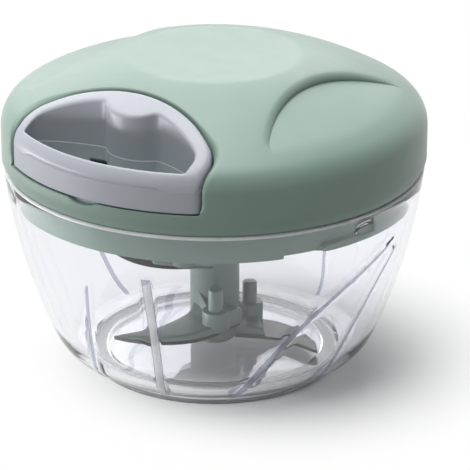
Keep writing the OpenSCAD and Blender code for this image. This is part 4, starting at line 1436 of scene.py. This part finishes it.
@dataclass
class LidBase:
    """Plate under the cover, with the skirt that drops into the bowl and its bayonet grooves."""

    finish: Material
    plate_z: float = 62.3
    plate_top: float = 64.8
    plate_r: float = 60.2
    skirt_z: float = 54.0
    skirt_r: float = 58.24
    skirt_t: float = 2.8
    hole_r: float = 11.4
    hub_t: float = 2.4
    groove: float = 2.0
    groove_wall: float = 0.18
    shoulder: float = 0.5
    shoulder_h: float = 0.2
    lug_angle: float = 351.3
    seam: float = 150.0
    columns: int = 180

    def groove_outline(self, wall: Wall, turn: float) -> Array:
        """Outline of one groove in the flat field: a curved way in, then the slot that the lug turns into."""
        deg_mm = math.radians(1.0) * wall.reference
        place0 = wall.spot(np.array([self.lug_angle + turn]), np.array([0.0]))[0]
        top, low = 6.0, 1.5
        ramp = [(-25.8 + 9.5 * (1.0 - math.cos(math.radians(a))), -0.2 + (top + 0.2) * math.sin(math.radians(a)))
                for a in np.linspace(0.0, 90.0, 9)]
        slot = [(4.9, top), (5.1, top - 0.4), (5.1, low + 0.4), (4.7, low), (-12.6, low), (-13.2, low - 0.5),
                (-13.3, -0.2)]
        pts = np.array([(a * deg_mm, b) for a, b in ramp + slot])
        return place0 + pts

    def build(self) -> Object:
        """Make the base as one closed piece."""
        skin = Skin()
        angles = circle(self.columns, self.seam)
        profile = np.array([[self.skirt_r, self.skirt_z], [self.skirt_r, self.plate_z]])
        wall = Wall(profile, self.columns, self.seam, self.skirt_r)
        shapes = [Outline(self.groove_outline(wall, 120.0 * k)) for k in range(3)]
        lines = []
        for shape in shapes:
            for grow in (self.shoulder, 0.5 * self.shoulder, 0.0, -self.groove_wall):
                pts = shape.grown(grow)
                pts = np.vstack([pts, pts[:1]])
                pts[:, 1] = np.clip(pts[:, 1], 0.0, None)
                lines.append(pts)

        def stand(degrees: Array, along: Array) -> Array:
            """How far the face stands out, negative in the grooves and at their shoulders."""
            spots = wall.spot(degrees, along)
            low = spots.copy()
            low[:, 1] = np.maximum(low[:, 1], 0.3)
            lift = np.zeros(len(spots))
            for shape in shapes:
                gap, _ = shape.distance(low)
                deep = -self.groove * np.clip((-gap + 1e-3) / self.groove_wall, 0.0, 1.0)
                lift = np.minimum(lift, deep - self.shoulder_h * np.clip(1.0 - gap / self.shoulder, 0.0, 1.0) ** 2)
            return lift

        wall.add(skin, lines, stand, 5, 0.3)
        lower = sorted({(round(math.degrees(math.atan2(v[1], v[0])) % 360.0, 5), round(math.hypot(v[0], v[1]), 5))
                        for v in skin.verts if abs(v[2] - self.skirt_z) < 1e-4})
        ring = [(r * math.cos(math.radians(a)), r * math.sin(math.radians(a)), self.skirt_z) for a, r in lower]
        inside = self.skirt_r - self.skirt_t
        skin.flat(np.array([p[:2] for p in ring]), [np.array(around(inside, angles))], self.skirt_z)
        hole, hub, edge = self.hole_r, self.hole_r + self.hub_t, self.plate_r
        foot, plate, top = self.skirt_z, self.plate_z, self.plate_top
        skin.rings([(inside, foot), (inside, plate - 0.8), (inside - 0.8, plate), (hub + 0.8, plate),
                    (hub, plate - 0.8), (hub, foot + 2.3), (hub - 0.3, foot + 2.0), (hole + 0.3, foot + 2.0),
                    (hole, foot + 2.3), (hole, top), (edge, top), (edge, plate + 0.2), (edge - 0.2, plate),
                    (self.skirt_r, plate)], angles)
        return place(skin.become("lid_base_shell", self.finish, 32.0), Body.LID, "lid_base")


# Blades and their shaft


@dataclass(frozen=True)
class BladePlace:
    """One blade's name, height, the direction of its tip and how far its arm reaches."""

    node: str
    z: float
    tip: float
    reach: float


def sector(inner: float, outer: float, start: float, width: float, fall: float = 0.0) -> Outline:
    """Part of a ring between two radii, angles in degrees; its outer edge may fall inwards on the way."""
    shares = [i / 8.0 for i in range(9)]
    pts = [polar(inner, start + width * t) for t in shares]
    return Outline(pts + [polar(outer - fall * t, start + width * t) for t in reversed(shares)])


@dataclass
class BladeUnit:
    """Shaft with three arms, their bosses and pegs, and the steel blades under the arms."""

    plastic: Material
    steel: Material
    shaft_r: float = 7.4
    low_z: float = 7.3
    joint_z: float = 40.5
    head_z: float = 57.4
    head_top: float = 63.6
    head_r: float = 5.2
    tang_r: float = 7.8
    tang_start: float = 20.0
    tang_width: float = 40.0
    tip_r: float = 34.5
    fall: float = 0.31
    sweep: float = 104.0
    wind_r: float = 10.6
    wind_soft: float = 2.5
    back_rel: float = -8.0
    hollow: float = 3.0
    blade_t: float = 1.0
    edge_t: float = 0.15
    bevel: float = 2.2
    margin: float = 0.3
    arm_h: float = 2.4
    arm_tip: float = 0.5
    arm_edge: float = 0.15
    arm_round: float = 0.9
    root_h: float = 2.2
    root_w: float = 3.2
    stake_r: float = 12.4
    stake_rel: float = 60.0
    boss_r: float = 4.0
    boss_h: float = 6.0
    peg_r: float = 2.2
    peg_h: float = 6.6
    shelf_turn: float = 46.0
    shelf_out: float = 0.4
    shelf_fall: float = 1.6
    gusset_rel: float = -44.0
    gusset_half: float = 0.75
    places: tuple[BladePlace, ...] = (
        BladePlace("blade_low", 7.6, 7.6, 16.5),
        BladePlace("blade_mid", 13.0, 247.6, 40.0),
        BladePlace("blade_high", 32.3, 200.0, 20.5),
    )

    def outline(self, root: float, margin: float, tip: float, reach: float = 40.0) -> Outline:
        """Plan of a blade or its arm: a sickle with a hollow back and a bowed cutting edge that winds in to the hub.

        Args:
            root: radius at which it starts.
            margin: how far it stays inside the blade's own edge.
            tip: direction of the tip in degrees.
            reach: radius at which it is cut off.

        Returns:
            Its outline.
        """
        steps = 40
        start, end = np.array(polar(root, self.back_rel)), np.array(polar(self.tip_r - margin, margin))
        way = (end - start) / np.linalg.norm(end - start)
        inward = np.array([-way[1], way[0]])
        pts: list[Point2] = [polar(root, self.sweep + (self.back_rel - self.sweep) * i / 16.0) for i in range(16)]
        for i in range(steps):
            t = i / steps
            bend = self.hollow * math.sin(math.pi * t) ** 1.3 + margin * smoothstep(0.0, 0.2, t)
            x, y = start + (end - start) * t + inward * bend
            pts.append((float(x), float(y)))
        k = self.wind_soft
        for i in range(steps + 1):
            a = margin + (self.sweep - margin) * i / steps
            r = k * math.log(math.exp((self.tip_r - self.fall * a) / k) + math.exp(self.wind_r / k))
            pts.append(polar(r - margin, a))
        kept = [q for q in pts if math.hypot(*q) <= reach]
        c, s = math.cos(math.radians(tip)), math.sin(math.radians(tip))
        return Outline([(x * c - y * s, x * s + y * c) for x, y in kept])

    @staticmethod
    def slab(skin: Skin, shape: Outline, low: float, top: Callable[[Array], Array], steps: Sequence[float],
             grid: float) -> None:
        """Add a closed slab with a shaped top.

        Args:
            skin: the mesh.
            shape: its plan.
            low: height of its flat underside.
            top: gives the height of its upper face.
            steps: distances in from the edge at which lines follow it.
            grid: spacing of plain points.
        """
        sheet = Flat()
        sheet.line(shape.points, closed=True)
        low_c, high_c = shape.points.min(axis=0), shape.points.max(axis=0)
        spots = grid_points(np.arange(low_c[0], high_c[0], grid), np.arange(low_c[1], high_c[1], grid))
        depth = -shape.distance(spots)[0]
        sheet.scatter(spots[depth > max(steps)], grid * 0.4)
        for step in steps:
            ring = shape.grown(-step)
            sheet.scatter(ring[-shape.distance(ring)[0] > step * 0.9], 0.12)
        corners, tris = sheet.cut(shape.inside)
        skin.patch(np.column_stack([corners, top(corners)]), tris)
        rim = top(shape.points)
        skin.strip([(p[0], p[1], z) for p, z in zip(shape.points, rim)], [(p[0], p[1], low) for p in shape.points])
        skin.flat(shape.points, [], low)

    @staticmethod
    def post(skin: Skin, centre: Point2, r: float, low: float, top: float) -> None:
        """Add an upright round post of a radius, with a rounded upper edge."""
        part = Skin()
        part.rings([(AXIS_R, low), (r, low), (r, top - 0.5), (r - 0.15, top - 0.15), (r - 0.5, top), (AXIS_R, top)],
                   circle(40))
        skin.patch([(x + centre[0], y + centre[1], z) for x, y, z in part.verts], part.faces)

    def carrier(self) -> Object:
        """Make the lower shaft with its arms."""
        skin = Skin()
        r, low, top = self.shaft_r, self.low_z, self.joint_z
        skin.rings([(AXIS_R, low), (r - 0.6, low), (r, low + 0.6), (r, top - 0.2), (r - 0.2, top), (AXIS_R, top)],
                   circle(72))
        for spot in self.places:
            base = spot.z + self.blade_t
            shape = self.outline(r - 1.0, self.margin, spot.tip, spot.reach)
            slope = (self.arm_h - self.arm_tip) / (self.tip_r - r)

            def height(where: Array, shape: Outline = shape, base: float = base, slope: float = slope) -> Array:
                """Height of the arm's upper face, which falls to the tip and rounds over at its edges."""
                out = np.hypot(where[:, 0], where[:, 1])
                full = self.arm_tip + slope * (self.tip_r - np.maximum(out, r))
                full = full + self.root_h * (1.0 - smoothstep(r, r + self.root_w, out)) ** 2
                edge = shape.depth(where)
                share = np.clip(edge / self.arm_round, 0.0, 1.0)
                return base + self.arm_edge + (full - self.arm_edge) * np.sqrt(1.0 - (1.0 - share) ** 2)

            self.slab(skin, shape, base, height, (0.08, 0.25, 0.5, 0.8), 1.2)
            direction = spot.tip + self.stake_rel
            centre = polar(self.stake_r, direction)
            h = base + self.boss_h
            self.post(skin, centre, self.boss_r, base, h)
            self.post(skin, centre, self.peg_r, spot.z - 0.1, h + self.peg_h - 0.1)
            self.shelf(skin, direction, base, h - 1.2)
            self.gusset(skin, direction, base, h)
        obj = skin.become("blade_carrier_body", self.plastic)
        return place(obj, Body.BLADES, "blade_carrier")

    def shelf(self, skin: Skin, direction: float, base: float, top: float) -> None:
        """Add the shelf that runs from a boss round the shaft."""
        shape = sector(self.shaft_r - 1.0, self.stake_r + self.shelf_out, direction, self.shelf_turn, self.shelf_fall)

        def height(where: Array) -> Array:
            """Height of the upper face, which rounds over at its edges."""
            return top - quarter_round(shape.depth(where), 0.6)

        self.slab(skin, shape, base, height, (0.1, 0.3, 0.6), 1.2)

    def gusset(self, skin: Skin, direction: float, base: float, boss_top: float) -> None:
        """Add the web between a boss and the shaft, with a slanting upper edge."""
        start = np.array(polar(self.shaft_r - 0.8, direction + self.gusset_rel))
        run = np.array(polar(self.stake_r, direction)) - start
        across = np.array([-run[1], run[0]]) / np.linalg.norm(run) * self.gusset_half
        side = [(0.0, base + 0.1), (0.85, base + 0.1), (0.85, boss_top - 0.6), (0.6, boss_top - 0.6),
                (0.0, boss_top + 3.6)]
        rows = [[(*(start + run * t + across * w), z) for t, z in side] for w in (-1.0, 1.0)]
        skin.strip(*rows)
        for row in rows:
            skin.patch(row, [(0, 1, 2, 3, 4)])

    def shaft(self) -> Object:
        """Make the upper shaft with its drive head."""
        skin = Skin()
        r, h = self.shaft_r, self.head_r
        skin.rings([(AXIS_R, self.joint_z), (r - 0.2, self.joint_z), (r, self.joint_z + 0.2), (r, self.head_z - 0.4),
                    (r - 0.4, self.head_z), (h, self.head_z), (h, self.head_top - 0.5), (h - 0.5, self.head_top),
                    (AXIS_R, self.head_top)], circle(72))
        for turn in (0.0, 180.0):
            shape = sector(self.head_r - 0.8, self.tang_r, self.tang_start + turn, self.tang_width)

            def height(where: Array, shape: Outline = shape) -> Array:
                """Height of a tang's upper face, which rounds over at its edges."""
                return self.head_top - 1.0 - quarter_round(shape.depth(where), 0.3)

            self.slab(skin, shape, self.head_z, height, (0.15, 0.3), 1.0)
        obj = skin.become("blade_shaft_body", self.plastic)
        return place(obj, Body.BLADES, "blade_shaft")

    def blade(self, spot: BladePlace) -> Object:
        """Make one steel blade, ground thin along its cutting edge."""
        shape = self.outline(self.shaft_r + 0.2, 0.0, spot.tip)
        tip = math.radians(spot.tip)

        def height(where: Array) -> Array:
            """Height of the upper face, which falls along the cutting edge."""
            edge = shape.depth(where)
            lag = np.degrees(np.arctan2(where[:, 1], where[:, 0]) - tip)
            lag = np.mod(lag + 180.0, 360.0) - 180.0
            cutting = smoothstep(10.0, 16.0, lag) * (1.0 - smoothstep(60.0, 72.0, lag))
            out = np.hypot(where[:, 0], where[:, 1])
            cutting *= smoothstep(self.shaft_r + 2.0, self.shaft_r + 4.0, out)
            ground = 1.0 - np.clip(edge / self.bevel, 0.0, 1.0)
            return spot.z + self.blade_t - cutting * (self.blade_t - self.edge_t) * ground

        skin = Skin()
        self.slab(skin, shape, spot.z, height, (0.5, 1.2, self.bevel), 1.6)
        obj = skin.become(spot.node + "_leaf", self.steel, 25.0)
        return place(obj, Body.BLADES, spot.node)

    def build(self) -> None:
        """Make the whole unit."""
        self.carrier()
        self.shaft()
        for spot in self.places:
            self.blade(spot)


# Cord and screws


def tube(path: Array, radius: float, sides: int = 14) -> Skin:
    """A round tube along a path, with closed ends.

    Args:
        path: places along its middle, which doesn't start upright.
        radius: its radius.
        sides: faces around it.

    Returns:
        The mesh.
    """
    way = unit(np.gradient(path, axis=0))
    across = np.cross(way[0], (0.0, 0.0, 1.0))
    rows = []
    for p, t in zip(path, way):
        across = across - np.dot(across, t) * t
        across /= np.linalg.norm(across)
        other = np.cross(t, across)
        rows.append([tuple(p + radius * (math.cos(a) * across + math.sin(a) * other)) for a in circle(sides)])
    skin = Skin()
    for one, two in zip(rows[:-1], rows[1:]):
        skin.strip(one, two)
    skin.patch(rows[0], [tuple(range(sides))])
    skin.patch(rows[-1], [tuple(range(sides))])
    return skin


def wire(tree: Tree, *joins: tuple[Node, str, Node, str]) -> None:
    """Join sockets in a tree, each join as a node, its output, the next node and its input."""
    for start, leaving, end, entering in joins:
        tree.links.new(start.outputs[leaving], end.inputs[entering])


@dataclass
class PullCord:
    """Cord from the drum through the guide to its knot in the handle, and its turns on the drum."""

    finish: Material
    radius: float = 0.88
    z: float = 71.7
    leave_r: float = 22.75
    bend_y: float = -30.0
    knot_y: float = -36.57
    knot_r: float = 1.25
    drum_r: float = 20.0
    turns: int = 3
    split: tuple[float, float] = (-33.55, -34.05)

    def run(self) -> Object:
        """Make the run of cord that pays out when the handle is pulled."""
        leave = math.radians(270.0 - math.degrees(math.acos(self.leave_r / -self.bend_y)))
        start = np.array([self.leave_r * math.cos(leave), self.leave_r * math.sin(leave)])
        bend = np.array([0.0, self.bend_y])
        way = (bend - start) / np.linalg.norm(bend - start)
        easy = 2.2
        one, two = bend - way * easy, bend + np.array([0.0, -easy])
        curve = [(1 - t) ** 2 * one + 2 * t * (1 - t) * bend + t * t * two for t in np.linspace(0.0, 1.0, 12)]
        straight = [start + (one - start) * t for t in np.linspace(0.0, 1.0, 8)[:-1]]
        end = [np.array([0.0, y]) for y in (self.split[0], self.split[1], self.knot_y + 1.6)]
        path = np.array([(p[0], p[1], self.z) for p in straight + curve + end])
        obj = tube(path, self.radius).become("pull_cord_run", self.finish, 60.0)
        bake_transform(obj)
        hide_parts("cord_lead")
        return obj

    def knot(self) -> Object:
        """Make the knot, a small trefoil pulled tight."""
        t = np.linspace(0.05, 2.0 * math.pi - 0.05, 72)
        size = self.knot_r / 3.0
        x = size * (np.sin(t) + 2.0 * np.sin(2.0 * t))
        y = size * (np.cos(t) - 2.0 * np.cos(2.0 * t))
        path = np.stack([x, self.knot_y + y, self.z - size * np.sin(3.0 * t)], axis=1)
        obj = tube(path, 0.62, 9).become("pull_cord_knot", self.finish, 60.0)
        return place(obj, Body.HANDLE, "cord_knot")

    def winding(self) -> Object:
        """Make the turns on the drum with a spiral that a tree of nodes sweeps."""
        tree = bpy.data.node_groups.new("cord_turns", "GeometryNodeTree")
        tree.interface.new_socket("Geometry", in_out="OUTPUT", socket_type="NodeSocketGeometry")
        sizes = {"Turns": float(self.turns), "Coil Radius": (self.drum_r + self.radius) * MM,
                 "Rise": 2.0 * self.radius * self.turns * MM, "Cord Radius": self.radius * MM}
        for name in sizes:
            tree.interface.new_socket(name, in_out="INPUT", socket_type="NodeSocketFloat")
        add = tree.nodes.new
        inputs, output = add("NodeGroupInput"), add("NodeGroupOutput")
        spiral = put(add("GeometryNodeCurveSpiral"), Resolution=48)
        ring = put(add("GeometryNodeCurvePrimitiveCircle"), Resolution=12)
        sweep = put(add("GeometryNodeCurveToMesh"), Fill_Caps=True)
        start = (0.0, 0.0, (self.z - self.radius * self.turns) * MM)
        shift = put(add("GeometryNodeTransform"), Translation=start)
        wire(tree, (inputs, "Turns", spiral, "Rotations"), (inputs, "Coil Radius", spiral, "Start Radius"),
             (inputs, "Coil Radius", spiral, "End Radius"), (inputs, "Rise", spiral, "Height"),
             (inputs, "Cord Radius", ring, "Radius"), (spiral, "Curve", sweep, "Curve"),
             (ring, "Curve", sweep, "Profile Curve"), (sweep, "Mesh", shift, "Geometry"))
        finish_tree(tree, shift.outputs["Geometry"], output, self.finish)
        obj = from_tree("pull_cord_turns", tree, [(0.0, 0.0, 0.0)], sizes)
        return place(obj, Body.REEL, "cord_winding")

    def build(self) -> None:
        """Make all of the cord."""
        self.run()
        self.knot()
        self.winding()


def finish_tree(tree: Tree, geometry: Socket, output: Node, finish: Material) -> None:
    """End a tree with real geometry and its material."""
    real = tree.nodes.new("GeometryNodeRealizeInstances")
    coat = put(tree.nodes.new("GeometryNodeSetMaterial"), Material=finish)
    tree.links.new(geometry, real.inputs["Geometry"])
    wire(tree, (real, "Geometry", coat, "Geometry"), (coat, "Geometry", output, "Geometry"))


def from_tree(name: str, tree: Tree, points: Sequence[Point3], sizes: dict[str, float]) -> Object:
    """Run a tree on some points and keep the mesh that it gives.

    Args:
        name: the piece's name.
        tree: the tree of nodes.
        points: places in millimetres.
        sizes: values for the tree's named inputs.

    Returns:
        A plain object at the origin.
    """
    seed = bpy.data.meshes.new(name + "_points")
    seed.from_pydata([(x * MM, y * MM, z * MM) for x, y, z in points], [], [])
    carrier = add_object(name + "_carrier", seed)
    modifier = carrier.modifiers.new("place", "NODES")
    modifier.node_group = tree
    for socket in tree.interface.items_tree:
        if socket.in_out == "INPUT" and socket.name in sizes:
            modifier[socket.identifier] = sizes[socket.name]
    graph = bpy.context.evaluated_depsgraph_get()
    graph.update()
    mesh = bpy.data.meshes.new_from_object(carrier.evaluated_get(graph), depsgraph=graph)
    mesh.name = name
    bpy.data.objects.remove(carrier)
    for polygon in mesh.polygons:
        polygon.use_smooth = True
    mesh.set_sharp_from_angle(angle=math.radians(35.0))
    obj = add_object(name, mesh)
    LOG.info("%s: %d faces", name, len(mesh.polygons))
    return obj


@dataclass(frozen=True)
class ScrewSet:
    """Equal screws with cross recesses, heads down."""

    name: str
    node: str
    body: Body
    head_r: float
    head_h: float
    shank_r: float
    length: float
    points: tuple[Point3, ...]
    recess_len: float = 1.2
    recess_w: float = 0.26
    recess_h: float = 1.2
    sunk: float = 0.7

    def build(self, finish: Material) -> Object:
        """Make the set with a tree of nodes that puts one screw on each point."""
        tree = bpy.data.node_groups.new(self.name, "GeometryNodeTree")
        tree.interface.new_socket("Geometry", in_out="INPUT", socket_type="NodeSocketGeometry")
        tree.interface.new_socket("Geometry", in_out="OUTPUT", socket_type="NodeSocketGeometry")
        sizes = {"Head Radius": self.head_r * MM, "Head Height": self.head_h * MM, "Shank Radius": self.shank_r * MM,
                 "Length": self.length * MM}
        for name in sizes:
            tree.interface.new_socket(name, in_out="INPUT", socket_type="NodeSocketFloat")
        add = tree.nodes.new
        inputs, output = add("NodeGroupInput"), add("NodeGroupOutput")
        head, shank = add("GeometryNodeMeshCylinder"), add("GeometryNodeMeshCylinder")
        wire(tree, (inputs, "Head Radius", head, "Radius"), (inputs, "Head Height", head, "Depth"),
             (inputs, "Shank Radius", shank, "Radius"), (inputs, "Length", shank, "Depth"))
        bars = add("GeometryNodeJoinGeometry")
        size = (self.head_r * self.recess_len * MM, self.head_r * self.recess_w * MM, self.head_h * self.recess_h * MM)
        down = (0.0, 0.0, -self.head_h * 0.5 * MM)
        for turn in (0.0, math.pi / 2.0):
            bar = put(add("GeometryNodeMeshCube"), Size=size)
            turned = put(add("GeometryNodeTransform"), Rotation=(0.0, 0.0, turn), Translation=down)
            wire(tree, (bar, "Mesh", turned, "Geometry"), (turned, "Geometry", bars, "Geometry"))
        cut = add("GeometryNodeMeshBoolean")
        cut.operation = "DIFFERENCE"
        sunk = self.head_h * self.sunk
        up_head = put(add("GeometryNodeTransform"), Translation=(0.0, 0.0, self.head_h / 2.0 * MM))
        up_shank = put(add("GeometryNodeTransform"), Translation=(0.0, 0.0, (sunk + self.length / 2.0) * MM),
                       Scale=(1.0, 1.0, (self.length - sunk) / self.length))
        both, spread = add("GeometryNodeJoinGeometry"), add("GeometryNodeInstanceOnPoints")
        wire(tree, (head, "Mesh", cut, "Mesh 1"), (bars, "Geometry", cut, "Mesh 2"), (cut, "Mesh", up_head, "Geometry"),
             (shank, "Mesh", up_shank, "Geometry"), (up_head, "Geometry", both, "Geometry"),
             (up_shank, "Geometry", both, "Geometry"), (inputs, "Geometry", spread, "Points"),
             (both, "Geometry", spread, "Instance"))
        finish_tree(tree, spread.outputs["Instances"], output, finish)
        return place(from_tree(self.name, tree, self.points, sizes), self.body, self.node)


def screw_sets() -> list[ScrewSet]:
    """All screws of the part."""
    lid = tuple((*polar(52.0, a), 62.4) for a in (-15.0, 65.0, 115.0, 195.0))
    socket = tuple((*polar(13.6, a), 65.1) for a in (0.0, 120.0, 240.0))
    corner = (25.5 + 5.3 * math.sin(math.radians(50.0)), -48.2 + 5.3 * math.cos(math.radians(50.0)))
    handle = tuple((s * corner[0], corner[1], 69.6) for s in (-1.0, 1.0))
    return [
        ScrewSet("lid_screw_set", "lid_screws", Body.LID, 2.6, 1.4, 1.4, 9.0, lid),
        ScrewSet("socket_screw_set", "socket_screws", Body.REEL, 1.8, 0.5, 0.9, 4.1, socket),
        ScrewSet("handle_screw_set", "handle_screws", Body.HANDLE, 1.6, 1.2, 0.8, 10.8, handle),
    ]


# Light, floor and camera


@dataclass(frozen=True)
class Lamp:
    """One soft lamp: its name, place in metres, width and height, and power in watts."""

    name: str
    at: Point3
    size: Point2
    watts: float


@dataclass
class Studio:
    """White studio in metres: a soft key lamp above, a back lamp for the lid's sheen and a low strip on the left."""

    camera_at: Point3 = (0.4869, -0.6580, 0.3742)
    look: Point3 = (-0.5448, 0.7478, -0.3797)
    lens: float = 227.4
    sensor: float = 36.0
    sight: float = 20.0
    floor_size: float = 6.0
    floor_z: float = -0.0002
    floor_seen: float = 0.86
    # Centre and ranges of the floor's painted glow: near shadow_at the real shadow shows, and further out painted white
    # light covers it.
    shadow_at: Point3 = (0.0145, 0.0195, 0.0)
    shadow_near: tuple[float, float] = (0.030, 0.04)
    shadow_far: tuple[float, float] = (0.084, 0.97)
    floor_bounce: float = 0.5
    room_light: float = 0.05
    aim: Point3 = (0.0, 0.0, 0.05)
    lamps: tuple[Lamp, ...] = (
        Lamp("key_lamp", (-0.11, -0.18, 1.0), (0.9, 0.9), 11.6),
        Lamp("back_lamp", (-0.53, 0.58, 0.82), (1.0, 1.35), 9.3),
        Lamp("floor_strip", (-0.30, -0.225, 0.014), (0.3, 0.024), 0.68),
    )

    def camera(self) -> None:
        """Set the camera at the photograph's place."""
        data = bpy.data.cameras.new("view_camera")
        data.lens, data.sensor_width = self.lens, self.sensor
        data.clip_end = self.sight
        cam = add_object("view_camera", data)
        cam.location = self.camera_at
        cam.rotation_euler = Vector(self.look).to_track_quat("-Z", "Y").to_euler()
        bpy.context.scene.camera = cam

    @staticmethod
    def shown(tree: Tree) -> Socket:
        """Value that is 1 where the camera sees a place, also in metal and through the bowl."""
        path = tree.nodes.new("ShaderNodeLightPath")
        most = path.outputs["Is Camera Ray"]
        for name in ("Is Glossy Ray", "Is Transmission Ray"):
            pick = tree.nodes.new("ShaderNodeMath")
            pick.operation = "MAXIMUM"
            tree.links.new(most, pick.inputs[0])
            tree.links.new(path.outputs[name], pick.inputs[1])
            most = pick.outputs[0]
        return most

    def floor(self) -> None:
        """Lay the floor, which looks white and throws little light back at the part. Its white is partly a glow painted
        on, which grows with distance from shadow_at, so painted light fades the part's real shadow away from that
        point.
        """
        mesh = bpy.data.meshes.new("studio_floor")
        h, z = self.floor_size / 2.0, self.floor_z
        mesh.from_pydata([(-h, -h, z), (h, -h, z), (h, h, z), (-h, h, z)], [], [(0, 1, 2, 3)])
        n = Nodes("studio_floor")
        n.set(Base_Color=grey(self.floor_seen), Roughness=0.7, Specular_IOR_Level=0.1)
        # Painted light: a white glow that fades the real shadow with distance from shadow_at.
        painted_glow = put(n.add("ShaderNodeEmission"), Color=grey(1.0))
        away = n.add("ShaderNodeVectorMath", operation="DISTANCE")
        n.link(n.place, away.inputs[0])
        away.inputs[1].default_value = self.shadow_at
        lift = n.add("ShaderNodeMapRange", interpolation_type="SMOOTHSTEP")
        n.link(away.outputs["Value"], lift.inputs["Value"])
        (near, dark), (far, bright) = self.shadow_near, self.shadow_far
        put(lift, From_Min=near, To_Min=dark, From_Max=far, To_Max=bright)
        white = n.mix(lift.outputs["Result"], n.shader.outputs["BSDF"], painted_glow.outputs["Emission"])
        quiet = put(n.add("ShaderNodeBsdfDiffuse"), Color=grey(self.floor_bounce))
        n.link(n.mix(self.shown(n.tree), quiet.outputs["BSDF"], white), n.out.inputs["Surface"])
        mesh.materials.append(n.material)
        obj = add_object("studio_floor", mesh)

    def world(self) -> None:
        """Light the room a little from all sides and show it white."""
        world = bpy.data.worlds.new("studio")
        bpy.context.scene.world = world
        world.use_nodes = True
        tree = world.node_tree
        tree.nodes.clear()
        out = tree.nodes.new("ShaderNodeOutputWorld")
        light = put(tree.nodes.new("ShaderNodeBackground"), Color=grey(1.0), Strength=self.room_light)
        white = put(tree.nodes.new("ShaderNodeBackground"), Color=grey(1.0), Strength=1.0)
        mix = tree.nodes.new("ShaderNodeMixShader")
        tree.links.new(self.shown(tree), mix.inputs[0])
        tree.links.new(light.outputs[0], mix.inputs[1])
        tree.links.new(white.outputs[0], mix.inputs[2])
        tree.links.new(mix.outputs[0], out.inputs["Surface"])

    def light(self, lamp: Lamp) -> None:
        """Set up one lamp that faces the part."""
        data = bpy.data.lights.new(lamp.name, "AREA")
        data.shape = "RECTANGLE"
        data.size, data.size_y = lamp.size
        data.energy = lamp.watts
        obj = add_object(lamp.name, data)
        obj.location = lamp.at
        obj.rotation_euler = (Vector(self.aim) - Vector(lamp.at)).to_track_quat("-Z", "Y").to_euler()
        obj.visible_camera = False

    def build(self) -> None:
        """Set up everything."""
        self.camera()
        self.floor()
        self.world()
        for lamp in self.lamps:
            self.light(lamp)
        bpy.context.scene.view_settings.view_transform = "Standard"


def dress_solids(nodes: dict[str, Object], finishes: Finishes) -> None:
    """Give the solids that stay their finishes."""
    plan = {
        "pivot_pin": finishes.steel, "spindle": finishes.steel, "spindle_washer": finishes.steel,
        "spindle_screw": finishes.steel, "spiral_spring": finishes.steel, "shaft_bush": finishes.bush,
        "cord_guide": finishes.white, "cord_reel": finishes.white, "spring_cover": finishes.white,
        "drive_socket": finishes.socket,
    }
    for node, finish in plan.items():
        obj = nodes[node]
        if not obj.material_slots:
            obj.data.materials.append(finish)
        for slot in obj.material_slots:
            slot.material = finish
        LOG.info("%s keeps its solid", node)


def main() -> None:
    """Build the part's looks in order."""
    logging.basicConfig(level=logging.INFO, format="%(name)s %(message)s")
    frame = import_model()
    Studio().build()
    finishes = Finishes()
    dome, loop = Dome(), LoopShape()
    Bowl(finishes.clear, finishes.edge, finishes.rim, finishes.foot).build()
    LidBase(finishes.base).build()
    LidCover(dome, loop, finishes.lid).build()
    handle = PullHandle(dome, loop, finishes.handle)
    handle.upper()
    handle.lower()
    BladeUnit(finishes.shaft, finishes.blade).build()
    PullCord(finishes.cord).build()
    for screws in screw_sets():
        screws.build(finishes.steel)
    dress_solids(frame["nodes"], finishes)
    bpy.context.view_layer.update()


if __name__ == "__main__":
    main()
